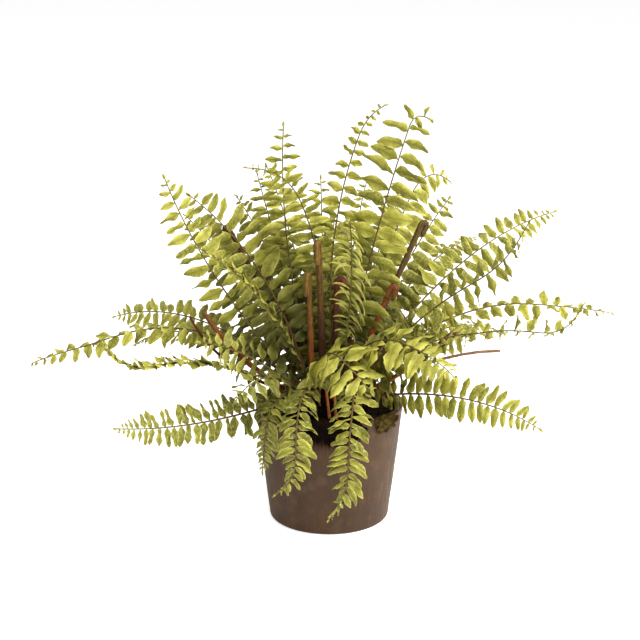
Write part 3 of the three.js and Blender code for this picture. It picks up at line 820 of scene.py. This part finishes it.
def growth_line(foot, azimuth, rise, droop, length, sweep=0, curl=0, hook=0, turn=0.66, roll=0):
    """A function of a share t of the length, giving the point in millimetres, the way the line runs,
    the way its blade spreads, and the way the blade's upper side faces."""

    def angles(t):
        late = np.clip((t - turn) / (1 - turn), 0, 1)
        late = late * late * (3 - 2 * late)
        spring = (SPRING_PITCH - rise) * np.maximum(0, 1 - t / SPRING_SHARE) ** 2
        pitch = np.maximum(HANG, rise - droop * t ** 1.5 + spring) + curl * late
        return np.radians(azimuth + sweep * t + hook * late), np.radians(pitch)

    def direction(t):
        heading, pitch = angles(t)
        return about_axis(np.cos(pitch), heading, np.sin(pitch))

    steps = direction((np.arange(STEPS) + 0.5) / STEPS) * length / STEPS
    route = np.concatenate([[foot], foot + np.cumsum(steps, axis=0)])
    tilt = math.radians(roll)

    def line(t):
        t = np.asarray(t, float)
        point = np.stack([np.interp(t * STEPS, np.arange(STEPS + 1), route[:, k]) for k in range(3)],
                         axis=-1)
        along = direction(t)
        heading, _ = angles(t)
        level = np.stack([-np.sin(heading), np.cos(heading), 0 * heading], axis=-1)
        across = level * math.cos(tilt) + np.cross(along, level) * math.sin(tilt)
        return point, along, across, np.cross(along, across)

    return line


tip = growth_line((0, 0, 0), 0, 60, 90, 200)(1.0)[0]
print("a frond of 200 mm that droops by 90 degrees reaches", round(float(tip[0])), "mm out")

# %% [markdown]
# ## One leaflet
#
# A leaflet is a thin closed blade: seven points across its upper side and three more underneath. Its
# outline is narrow where it joins the midrib, widest before the middle, and narrows again to the tip,
# with a small lobe on the side towards the frond's tip. How fast it narrows (`taper`), its teeth and
# the slow waves of its margins differ from frond to frond. The halves slope away from a creased midrib.
# Then it is bent as a whole: it hangs by its weight and rolls back at its tip. One modelled leaflet,
# copied along the frond, would be quicker to draw, but every copy would have the same outline and the
# same bend. All leaflets of a frond are computed together, as arrays of leaflets by steps by columns.

# %% Leaflet
LEAF_STEPS = 16
TOP_COLUMNS = np.array([-1, -0.62, -0.14, 0, 0.14, 0.62, 1])
UNDER_COLUMNS = np.array([0.62, 0, -0.62])
COLUMNS = np.concatenate([TOP_COLUMNS, UNDER_COLUMNS])
IS_UNDER = np.array([0] * len(TOP_COLUMNS) + [1] * len(UNDER_COLUMNS))
LEAF_FACES = ring_faces(LEAF_STEPS, len(COLUMNS))
LEAF_POINTS = LEAF_STEPS * len(COLUMNS)
VEIN_GAP = 1.3  # millimetres between side veins
SICKLE = 0.07  # how far a leaflet's tip bends towards the frond's, as a share of its length
FULL_AT, NARROW_FROM, NARROW_RUN = 0.26, 0.4, 0.61  # shares of the length that shape the outline
LOBE, LOBE_AT, LOBE_SPREAD = 0.24, 0.13, 0.07
steps = np.linspace(0, 1, LEAF_STEPS)
LEAF_U = 0.5 * steps + 0.25 * (1 - np.cos(math.pi * steps))


def leaf_half(v, width, habit):
    """Half the width in millimetres at each leaflet, step and column. v is -1 to 1 across, towards
    the frond's tip."""
    u = LEAF_U[:, None]
    taper, teeth, wave, ripple = (habit[key][:, None, None]
                                  for key in ("taper", "teeth", "wave", "ripple"))
    widening = np.clip(u / FULL_AT, 0.02, 1) ** 0.6
    narrowing = (1 - np.clip((u - NARROW_FROM) / NARROW_RUN, 0, 1) ** taper) ** 0.7
    plain = widening * narrowing
    tooth = np.where(np.arange(LEAF_STEPS) % 2, 1, -1)[:, None] * ((u > 0.08) & (u < 0.95))
    lobe = LOBE * np.exp(-(((u - LOBE_AT) / LOBE_SPREAD) ** 2))
    shape = plain * (1 + teeth * tooth * (np.abs(COLUMNS) == 1)) + lobe * (v > 0)[:, None]
    waved = 1 + wave * np.sin(ripple + 7.5 * u + 1.9 * np.sign(v)[:, None])
    return shape * waved * (width / 2)[:, None, None]


def leaflets(base, out, toward_tip, face, side, reach, width, habit):
    """The points, in millimetres, of n leaflets, and their half widths. base, out, toward_tip and face
    are (n, 3); side, reach, width and each entry of habit hold one number for each leaflet."""
    down = np.array([0, 0, -1.0])
    sag = down - (out @ down)[:, None] * out
    bend = habit["fall"][:, None] * sag - habit["recurve"][:, None] * face
    amount = np.maximum(np.linalg.norm(bend, axis=1), 1e-6)[:, None]
    way = (bend / amount)[:, None]
    out, toward_tip, face = out[:, None], toward_tip[:, None], face[:, None]
    turn = (amount * LEAF_U)[..., None]
    spine = out * np.sin(turn) + way * (1 - np.cos(turn))
    spine = base[:, None] + spine * (reach / amount[:, 0])[:, None, None]

    def carried(vector):
        share = (vector * way).sum(-1, keepdims=True)
        return vector + share * (way * (np.cos(turn) - 1) - out * np.sin(turn))

    wide, high = carried(toward_tip), carried(face)
    twist = (habit["tilt"][:, None] + habit["twist"][:, None] * LEAF_U)[..., None]
    wide, high = (wide * np.cos(twist) + high * np.sin(twist),
                  high * np.cos(twist) - wide * np.sin(twist))
    v = side[:, None] * COLUMNS
    half = leaf_half(v, width, habit)
    across = v[:, None] * half + (habit["sickle"][:, None] * reach[:, None] * LEAF_U ** 2)[..., None]
    ripple = np.sin(habit["ripple"][:, None] + 8.5 * LEAF_U)[..., None] * (v * np.abs(v))[:, None]
    lift = half * (0.42 * ripple - habit["ridge"][:, None, None] * np.abs(COLUMNS) ** 1.4)
    crease = np.where(IS_UNDER, 0.3 + 0.22 * (COLUMNS == 0), 0.16 * (COLUMNS == 0))
    lift = lift - crease * np.minimum(1, half / 1.2)
    flat = spine[:, :, None] + wide[:, :, None] * across[..., None]
    return flat + high[:, :, None] * lift[..., None], half


print("one leaflet:", LEAF_POINTS, "points,", len(LEAF_FACES), "faces")

# %% [markdown]
# ## One frond
#
# The midrib is a thin round tube that tapers to the tip. Leaflets stand on it left and right in turn, a
# little closer together towards the tip, and each leans towards the tip more than the one before. Every
# one gets its own small differences from a random generator with a fixed seed, so the frond looks grown
# and still comes out the same each time.

# %% Places of leaflets, and the midrib
RACHIS_FOOT, RACHIS_TIP = 1.1, 0.45  # the midrib's radius, in millimetres
RACHIS_STEPS, RACHIS_SIDES = 56, 8
LEAST = 0.24  # the shortest leaflet, as a share of the longest


def leaf_share(t, blunt, bare):
    """How long a leaflet is at a share t of the frond, as a share of the longest."""
    s = np.clip((t - bare) / (1 - bare), 0, 1)
    return np.maximum(LEAST, (0.45 + 0.55 * np.minimum(1, s / 0.25)) * (1 - s ** blunt) ** 0.8)


def leaf_places(start, blade):
    """The shares of the length at which one side's leaflets stand."""
    places = []
    t = start
    while t < 0.985:
        places.append(t)
        share = float(leaf_share(np.array(t), blade["blunt"], blade["bare"]))
        t += blade["gap"] * (0.35 + 0.65 * share) / blade["length"]
    return np.array(places)


def add_midrib(parts, line, length, rust):
    """Adds a tapering round tube, which stores where each point is around and along it."""
    t = np.linspace(0, 1, RACHIS_STEPS)
    point, _, across, face = line(t)
    radius = RACHIS_FOOT + (RACHIS_TIP - RACHIS_FOOT) * t ** 0.8
    rings = tube(point, across, face, radius, RACHIS_SIDES)
    angle = np.tile(np.linspace(0, math.tau, RACHIS_SIDES, endpoint=False), (RACHIS_STEPS, 1))
    around = about_axis(1, angle, np.outer(t * length, np.ones(RACHIS_SIDES)))
    parts.add(clear_of_pot(rings.reshape(-1, 3)) * MM, ring_faces(RACHIS_STEPS, RACHIS_SIDES), 1,
              age=np.repeat(t, RACHIS_SIDES), rust=rust, around=around.reshape(-1, 3))


# %% Habits of the fronds
# What sets a frond apart. wide is a leaflet's width for its length, tilt how far it turns about its own
# midrib, loose how much the leaflets vary, rust how brown the frond's midrib is, tone how light the
# frond is (partly painted light and shade: lower for the inner fronds as painted shade, higher for the
# front fronds and the low left one as painted light), lean how many degrees more its leaflets point to
# its tip, skew how many more on its right side and fewer on its left, and shaded how much painted shade
# darkens it in the heart of the crown. taper, teeth and wave shape a leaflet's outline. A frond starts
# from PLAIN. KINDS changes the fronds with that word in their name, and the frond's own row in HABITS
# comes last.
PLAIN = {"wide": 0.36, "tilt": 0.3, "loose": 1.2, "rust": 0.35, "tone": 0.0, "lean": 0.0,
         "skew": 0.0, "taper": 2.0, "teeth": 0.03, "wave": 0.11, "shaded": 1.0}
KINDS = {
    "_front_": {"taper": 1.6, "teeth": 0.06, "wave": 0.06},
    "_pot_": {"taper": 2.6, "teeth": 0.05, "wave": 0.05},
    "_spread": {"taper": 2.6, "teeth": 0.03, "wave": 0.04},
}
HABITS = {
    "frond_tall_right": {"rust": 0.8, "tone": 0.12},
    "frond_left_arching": {"tone": 0.1},
    "frond_right_rising": {"tone": -0.3},
    "frond_right_leaning": {"tone": -0.12},
    "frond_left_long": {"rust": 1.0},
    "frond_left_upright": {"rust": 0.1, "wide": 0.4},
    "frond_left_edge": {"rust": 0.1, "tone": 0.4, "lean": 45, "wide": 0.45, "loose": 0.6},
    "frond_middle_back": {"tone": 0.35},
    "frond_far_left": {"wide": 0.52, "rust": 0.5, "lean": 25},
    # painted light: this frond's high tone lightens leaflets that face down into shade
    "frond_left_low": {"wide": 0.5, "tone": 0.45, "rust": 0.6, "lean": 45, "loose": 0.4},
    "frond_far_right": {"wide": 0.52, "loose": 1.5},
    "frond_right_low": {"wide": 0.52, "loose": 1.5},
    "frond_tall_middle": {"wide": 0.5, "tone": 0.25},
    "frond_behind_tall_right": {"tone": 0.25},
    "frond_tall_left": {"tone": 0.15},
    "frond_left_bending": {"tone": 0.2},
    "frond_left_high": {"tone": 0.2},
    "frond_feathered_front": {"wide": 0.07, "tilt": 1.0, "tone": 0.15, "rust": 0.1,
                              "skew": -45, "wave": 0.0},
    # painted light: the front fronds' high tone and lack of crown shade stand for the light on them
    "frond_front_right": {"tone": 0.42, "wide": 0.38, "shaded": 0.0, "rust": 1.0},
    "frond_front_middle": {"tone": 0.42, "wide": 0.36, "shaded": 0.0, "rust": 1.0},
    "frond_pot_left": {"tone": -0.12, "wide": 0.26, "shaded": 0.9},
    "frond_pot_middle": {"tone": -0.18, "rust": 0.8, "wide": 0.26, "shaded": 0.9},
    "frond_pot_right": {"tone": -0.12, "rust": 1.0, "wide": 0.27, "shaded": 0.9},
    "frond_left_spread": {"rust": 1.0, "tone": -0.6, "loose": 0.5, "tilt": 0.15,
                          "wide": 0.35, "shaded": 0.4},
    "frond_right_spread": {"rust": 1.0, "tone": 0.15, "loose": 0.5, "tilt": 0.15,
                           "wide": 0.35, "shaded": 0.3},
    # painted shade: the inner fronds' low tone darkens the crowded middle of the plant
    "frond_inner_left": {"tone": -0.3},
    "frond_inner_left_low": {"tone": -0.3},
    "frond_inner_right": {"tone": -0.3, "wide": 0.4},
    "frond_inner_right_low": {"tone": -0.2, "wide": 0.4},
    "frond_inner_middle": {"tone": -0.4},
    "frond_inner_back_left": {"tone": -0.3},
    "frond_inner_back_right": {"tone": -0.3},
    "frond_inner_front_left": {"tone": -0.2},
}
print(len(HABITS), "fronds with habits of their own")


# %% Leaflets of a frond
LEAN, LEAN_MORE = 3.0, 10.0  # degrees that leaflets lean ahead at the frond's foot, and more at its tip


def leaf_habits(fall, habit, count, rng):
    """How each leaflet of a frond hangs, rolls back, tilts, twists, slopes, ripples and tapers."""
    loose = habit["loose"]
    return {
        "fall": 1.4 * fall * rng.uniform(0.75, 1.25, count),
        "recurve": rng.normal(0.34, 0.28 * loose, count),
        "tilt": rng.normal(habit["tilt"], 0.2 * loose, count),
        "twist": rng.normal(0.0, 0.42 * loose, count),
        "ridge": rng.normal(0.32, 0.16 * loose, count),
        "ripple": rng.uniform(0, math.tau, count),
        "sickle": rng.normal(SICKLE, 0.07 * loose, count),
        **{key: np.full(count, habit[key]) for key in ("taper", "teeth", "wave")},
    }


def add_leaflets(parts, line, blade, habit, rng):
    """Adds a frond's leaflets, with what each point stores for the leaf finish. Returns how many."""
    first = blade["bare"] + 0.02
    left = leaf_places(first, blade)
    right = leaf_places(first + blade["gap"] / blade["length"] / 2, blade)
    t = np.concatenate([left, right, [0.995]])
    side = np.concatenate([-np.ones(len(left)), np.ones(len(right)), [1]])
    count = len(t)
    point, along, across, face = line(t)
    lean = LEAN + habit["lean"] + habit["skew"] * side + LEAN_MORE * t
    lean = np.radians(lean + rng.normal(0, 8, count))
    lean[-1] = math.radians(85)
    sideways = across * side[:, None]
    cos, sin = np.cos(lean)[:, None], np.sin(lean)[:, None]
    out, toward_tip = sideways * cos + along * sin, along * cos - sideways * sin
    lift = rng.normal(0.05, 0.12, count)[:, None]
    out, face = out * np.cos(lift) + face * np.sin(lift), face * np.cos(lift) - out * np.sin(lift)
    share = leaf_share(t, blade["blunt"], blade["bare"])
    reach = blade["leaf"] * share * rng.uniform(0.86, 1.08, count)
    width = (habit["wide"] * reach + 0.5) * rng.uniform(0.88, 1.1, count)
    hang = leaf_habits(blade["fall"], habit, count, rng)
    points, half = leaflets(point + out * 0.35, out, toward_tip, face, side, reach, width, hang)
    shape = points.shape[:3]
    distance = (LEAF_U[:, None] * reach[:, None, None] - 0.7 * np.abs(COLUMNS) * half) / VEIN_GAP
    faces = [tuple(corner + start for corner in face)
             for start in range(0, count * LEAF_POINTS, LEAF_POINTS) for face in LEAF_FACES]
    tone = np.clip(0.5 + habit["tone"] + rng.normal(0, 0.2, count), 0, 1)
    parts.add(clear_of_pot(points.reshape(-1, 3)) * MM, faces, 0,
              tone=np.repeat(tone, LEAF_POINTS), age=np.repeat(t, LEAF_POINTS),
              shaded=habit["shaded"],
              reach=np.broadcast_to(LEAF_U[:, None], shape).ravel(),
              margin=np.broadcast_to(np.abs(COLUMNS), shape).ravel(),
              under=np.broadcast_to(IS_UNDER, shape).ravel(), vein=distance.ravel())
    return count


# %% [markdown]
# ## The fronds
#
# Each row is one frond: where its foot stands in the crown, its heading (0 is to the right, 90 to the
# back) and its rise above the horizon. Then how far it droops and sweeps aside over its whole length,
# how far it curls up and hooks aside late in it, and the share of the length (turn) where that sets in.
# Then its length, the longest leaflet, the distance between leaflets, how far the blade is rolled about
# the midrib, how limp the leaflets are (below 0 they lift), how blunt the frond ends (3 tapers, 9
# hardly does), and the share of the midrib that is bare at its foot. Angles are in degrees and lengths
# in millimetres.

# %% Table of fronds
# name, foot x, foot y, heading, rise, droop, sweep, curl, hook, turn, length, leaf, gap, roll, fall,
# blunt, bare
FRONDS = [
    ("frond_tall_right", 7, 3, 346, 79, 8, 0, -100, 0, 0.92, 264, 27, 13, 80, 0.4, 12, 0.07),
    ("frond_tall_middle", 3, -1, 22, 97, 36, 0, -34, 0, 0.86, 262, 18, 12, 50, 0.4, 3.5, 0.07),
    ("frond_behind_tall_right", 8, 9, 38, 68, 14, 0, -90, 0, 0.76, 236, 24, 12, 60, 0.6, 7, 0.07),
    ("frond_tall_left", -10, 4, 150, 74, -20, 0, 0, 0, 0.66, 234, 21, 12, -60, 0.3, 7, 0.07),
    ("frond_left_bending", -4, 3, 205, 96, 46, 0, -44, 0, 0.72, 236, 20, 10, -115, 0.3, 4, 0.07),
    ("frond_left_high", -10, 9, 140, 70, 0, 0, 0, 0, 0.66, 196, 22, 11, -60, 0.2, 6, 0.07),
    ("frond_middle_back", -3, 9, 95, 78, 6, 0, 0, 0, 0.66, 186, 20, 11, -10, 0.2, 7, 0.07),
    ("frond_feathered_front", 5, -10, 316, 76, 2, -60, -10, 0, 0.66, 176, 24, 5.5, 0, 0.7, 4, 0.36),
    ("frond_left_long", -13, 0, 165, 74, 40, 0, 0, 0, 0.66, 206, 28, 12, -75, 0.1, 8, 0.07),
    ("frond_left_upright", -18, 1, 198, 50, -20, 0, 0, 0, 0.66, 232, 22, 11, -80, 0.1, 8, 0.07),
    ("frond_left_edge", -12, -6, 206, 71, 42, 0, 0, 0, 0.66, 186, 17, 8, 0, -0.3, 6, 0.07),
    ("frond_left_arching", -22, 6, 165, 44, 64, 0, 0, 0, 0.66, 192, 19, 7, -40, 0.3, 6, 0.28),
    ("frond_far_left", -20, -4, 187, 47, 108, 0, 38, 0, 0.66, 254, 17, 12, -30, 0.6, 5, 0.32),
    ("frond_left_low", -22, -9, 200, 34, 60, 0, 80, 0, 0.72, 190, 18, 7, 5, -0.5, 8, 0.28),
    ("frond_left_spread", -24, -14, 212, -7, -20, 0, 0, 0, 0.66, 172, 19, 7, -60, 0.0, 5, 0.1),
    ("frond_pot_left", -13, -15, 231, 50, 230, 0, 0, 0, 0.66, 117, 19, 5.8, 0, 0.6, 4, 0.2),
    ("frond_pot_middle", -12, -20, 257, 50, 220, 8, 50, -70, 0.74, 154, 20, 5.8, 0, 0.6, 5, 0.2),
    ("frond_pot_right", 13, -18, 286, 50, 250, -46, 26, -90, 0.72, 182, 20, 5.8, 0, 0.5, 7, 0.2),
    ("frond_right_spread", 26, -11, 340, 14, 42, 0, 0, 0, 0.66, 160, 20, 7.5, 60, 0.0, 5, 0.1),
    ("frond_front_right", 8, -11, 318, 82, 168, 0, 48, 0, 0.6, 162, 30, 9, 30, 0.5, 6, 0.07),
    ("frond_front_middle", -8, -15, 260, 101, 208, 70, 46, 0, 0.66, 120, 32, 9, 30, 0.5, 9, 0.1),
    ("frond_right_rising", 18, -2, 36, 46, 42, 0, 0, 0, 0.66, 274, 24, 11, 40, 0.1, 5, 0.07),
    ("frond_right_leaning", 16, -7, 338, 55, 38, 0, 45, 0, 0.66, 228, 25, 11, 40, 0.4, 6, 0.07),
    ("frond_far_right", 19, 3, 12, 45, 88, 0, 26, 0, 0.66, 258, 18, 13, 20, -0.2, 5, 0.2),
    ("frond_right_low", 22, -6, 342, 44, 68, 0, 90, 0, 0.76, 226, 18, 13, 10, -0.5, 6, 0.12),
    ("frond_inner_left", -17, 7, 150, 58, 22, 0, 0, 0, 0.66, 190, 28, 11, -70, 0.2, 5, 0.07),
    ("frond_inner_left_low", -18, -7, 215, 46, 30, 0, 0, 0, 0.66, 128, 25, 10, -60, 0.3, 5, 0.07),
    ("frond_inner_right", 17, 8, 45, 60, 24, 0, 0, 0, 0.66, 200, 27, 11, 60, 0.2, 5, 0.07),
    ("frond_inner_right_low", 19, -12, 326, 50, 40, 0, 0, 0, 0.66, 150, 25, 10, 40, 0.4, 5, 0.07),
    ("frond_inner_middle", -1, 5, 94, 80, 8, 0, 0, 0, 0.66, 150, 24, 10, 50, 0.3, 5, 0.07),
    ("frond_inner_back_left", -9, 13, 132, 66, 26, 0, 0, 0, 0.66, 190, 26, 11, -60, 0.3, 5, 0.07),
    ("frond_inner_back_right", 11, 12, 58, 68, 26, 0, 0, 0, 0.66, 190, 26, 11, 60, 0.3, 5, 0.07),
    ("frond_inner_front_left", -18, -20, 222, 62, 110, 0, 0, 0, 0.66, 96, 22, 9, -20, 0.4, 5, 0.07),
    ("frond_back_right", 15, 15, 50, 48, 50, 0, 0, 0, 0.66, 225, 22, 11, 10, 0.2, 3.5, 0.07),
    ("frond_back_right_low", 21, 14, 40, 28, 60, 0, 0, 0, 0.66, 200, 20, 9, 20, 0.1, 3.5, 0.07),
    ("frond_back", 0, 16, 88, 58, 52, 0, 0, 0, 0.66, 200, 23, 11, 0, 0.2, 3.5, 0.07),
    ("frond_back_low", -3, 24, 100, 30, 75, 0, 0, 0, 0.66, 200, 20, 9, 0, 0.1, 3.5, 0.07),
    ("frond_back_left", -10, 17, 125, 50, 50, 0, 0, 0, 0.66, 230, 22, 11, -10, 0.2, 3.5, 0.07),
    ("frond_back_left_low", -21, 13, 145, 26, 60, 0, 0, 0, 0.66, 205, 20, 9, -20, 0.1, 3.5, 0.07),
    ("frond_back_tall_right", 6, 15, 76, 68, 34, 0, 0, 0, 0.66, 205, 23, 12, 10, 0.2, 3.5, 0.07),
    ("frond_back_tall_left", -6, 14, 112, 66, 34, 0, 0, 0, 0.66, 225, 23, 12, -10, 0.2, 3.5, 0.07),
    ("frond_pot_back", 7, 21, 70, 50, 230, 0, 0, 0, 0.66, 125, 22, 8, 0, 0.1, 3.5, 0.07),
]
print(len(FRONDS), "fronds,", sum(row[10] for row in FRONDS) / 1000, "m of midrib")

# %% Growing the fronds
total = 0
for number, row in enumerate(FRONDS):
    name, x, y, heading, rise, droop, sweep, curl, hook, turn, *rest = row
    blade = dict(zip(("length", "leaf", "gap", "roll", "fall", "blunt", "bare"), rest))
    rng = np.random.default_rng(100 + number)
    line = growth_line((x, y, FOOT_LEVEL), heading, rise, droop, blade["length"], sweep, curl, hook,
                       turn, blade["roll"])
    parts = Parts()
    kind = next((KINDS[part] for part in KINDS if part in name), {})
    habit = {**PLAIN, **kind, **HABITS.get(name, {})}
    add_midrib(parts, line, blade["length"], habit["rust"])
    total += add_leaflets(parts, line, blade, habit, rng)
    make_piece(name, parts, [leaf, rachis_bark])
print("leaflets:", total)

# %% [markdown]
# ## Young fronds and bare stalks
#
# A young fern frond comes up as a crozier: a thick stalk whose head is still rolled over and pressed
# against itself. It is one tube that follows the stalk, turns over in a tight hook and runs back beside
# it. Its ridges are modelled, because they catch the light at the outline, and short bristles stand on
# it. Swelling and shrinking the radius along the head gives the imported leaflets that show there. A
# bevelled curve would follow the same path, but its section would be the same smooth ring everywhere.
# Stalks whose head is out of sight or gone are plain tapering tubes of the same making.

# %% Table of stalks
# name, foot x, foot y, heading, rise, droop, length, foot radius, head radius, degrees that the head is
# rolled over, millimetres that it runs back, bark
STALKS = [
    ("crozier_front_left", -13, -10.5, 245, 85, -2, 114, 2.2, 2.4, 180, 15, "crozier_tan"),
    ("crozier_front", -4, -6, 252, 83, -2, 142, 2.6, 2.6, 180, 15, "crozier_brown"),
    ("crozier_right", 12, 5, 28, 62, 0, 162, 2.3, 2.4, 180, 9, "crozier_olive"),
    ("crozier_right_short", 13, 0, 345, 69, 0, 109, 2.2, 2.3, 180, 9, "crozier_red"),
    ("crozier_middle", 1.8, -5, 350, 88, 0, 106, 1.5, 2.8, 300, 0, "crozier_dark"),
    ("crozier_left", -25, -7, 196, 36, -24, 120, 2.6, 1.8, 0, 0, "crozier_red"),
    ("crozier_left_thin", -27, 1, 194, 22, -44, 124, 1.5, 0.9, 0, 0, "crozier_dark"),
    ("crozier_left_high", -15, 12, 155, 62, 4, 160, 1.9, 1.9, 180, 8, "crozier_dark"),
    ("stalk_bare_right", 24, 1, 352, 33, 30, 132, 1.4, 1.2, 0, 0, "cut_stalk"),
    ("crozier_right_low", 22, -16, 340, 38, -6, 110, 1.9, 1.7, 180, 7, "crozier_red"),
]
print(len(STALKS), "stalks, the thickest", max(row[7] for row in STALKS) * 2, "mm")


# %% Growing the stalks
PINCH = 0.25  # millimetres between a stalk and its folded head
STALK_STEPS, HOOK_STEPS, FOLD_STEPS = 44, 15, 9
STALK_SIDES = 24


def stalk_route(line, hook, rolled, folded):
    """The stalk's line with its head: points, across, face, and the distance along it."""
    point, along, across, face = line(np.linspace(0, 1, STALK_STEPS))
    if rolled:
        turn = np.radians(np.linspace(0, rolled, HOOK_STEPS))[1:, None]
        out = face[-1] * np.cos(turn) + along[-1] * np.sin(turn)
        centre = point[-1] - face[-1] * hook
        back = along[-1] * np.cos(turn[-1]) - face[-1] * np.sin(turn[-1])
        point = np.concatenate([point, centre + out * hook])
        face = np.concatenate([face, out])
        run = np.linspace(0, folded, FOLD_STEPS)[1:, None] if folded else np.zeros((0, 1))
        point = np.concatenate([point, point[-1] + run * back])
        face = np.concatenate([face, np.broadcast_to(out[-1], (len(run), 3))])
        rest = len(point) - STALK_STEPS
        across = np.concatenate([across, np.broadcast_to(across[-1], (rest, 3))])
    gone = np.concatenate([[0], np.cumsum(np.linalg.norm(np.diff(point, axis=0), axis=1))])
    return point, across, face, gone


def grow_stalk(row, rng):
    """Makes one stalk of the table, ridged and bristly, with its bark."""
    name, x, y, heading, rise, droop, length, foot, head, rolled, folded, bark = row
    line = growth_line((x, y, FOOT_LEVEL), heading, rise, droop, length)
    point, across, face, gone = stalk_route(line, head + PINCH, rolled, folded)
    share = gone / gone[-1]
    angle = np.linspace(0, math.tau, STALK_SIDES, endpoint=False)
    radius = foot + (head - foot) * share
    end = gone[-1] - gone
    if rolled:
        radius = radius * (0.55 + 0.45 * np.clip(end / 4, 0, 1) ** 0.6)
    run = gone[:, None]
    ridges = 1 + 0.05 * np.cos(7 * angle + 0.02 * run) + 0.03 * np.cos(3 * angle - 0.05 * run)
    packed = np.clip((run - length * 0.93) / 6, 0, 1) * bool(rolled)
    buds = 1 + 0.07 * packed * np.sin(math.tau * run / 2.6 + 2 * np.cos(angle))
    uneven = 1 + 0.05 * np.sin(run / 9.0 + heading)
    rings = tube(point, across, face, radius[:, None] * ridges * buds * uneven, STALK_SIDES)
    rough = 0.16 * rough_at(rings * (1, 1, 0.5), 0.45, 3, 12.0)[..., None]
    rings += rough * (rings - point[:, None])
    around = about_axis(foot, angle + 0 * run, run + 0 * angle)
    parts = Parts()
    parts.add(rings.reshape(-1, 3) * MM, ring_faces(len(point), STALK_SIDES),
              age=np.repeat(share, STALK_SIDES), around=around.reshape(-1, 3))
    count = int(length * 0.5)
    chosen = rng.integers(2, len(point) - 3, count)
    spin = rng.uniform(0, math.tau, count)[:, None]
    outward = across[chosen] * np.cos(spin) + face[chosen] * np.sin(spin)
    starts = point[chosen] + outward * radius[chosen, None] * 0.9
    ahead = unit(point[chosen + 1] - point[chosen])
    add_fibres(parts, starts, unit(outward + 1.2 * ahead), rng.uniform(0.7, 1.8, count),
               0.16, 0.1, rng, segments=2)
    make_piece(name, parts, [barks[bark]], sharp=60)


for number, row in enumerate(STALKS):
    grow_stalk(row, np.random.default_rng(500 + number))
print("stalks grown:", len(STALKS))
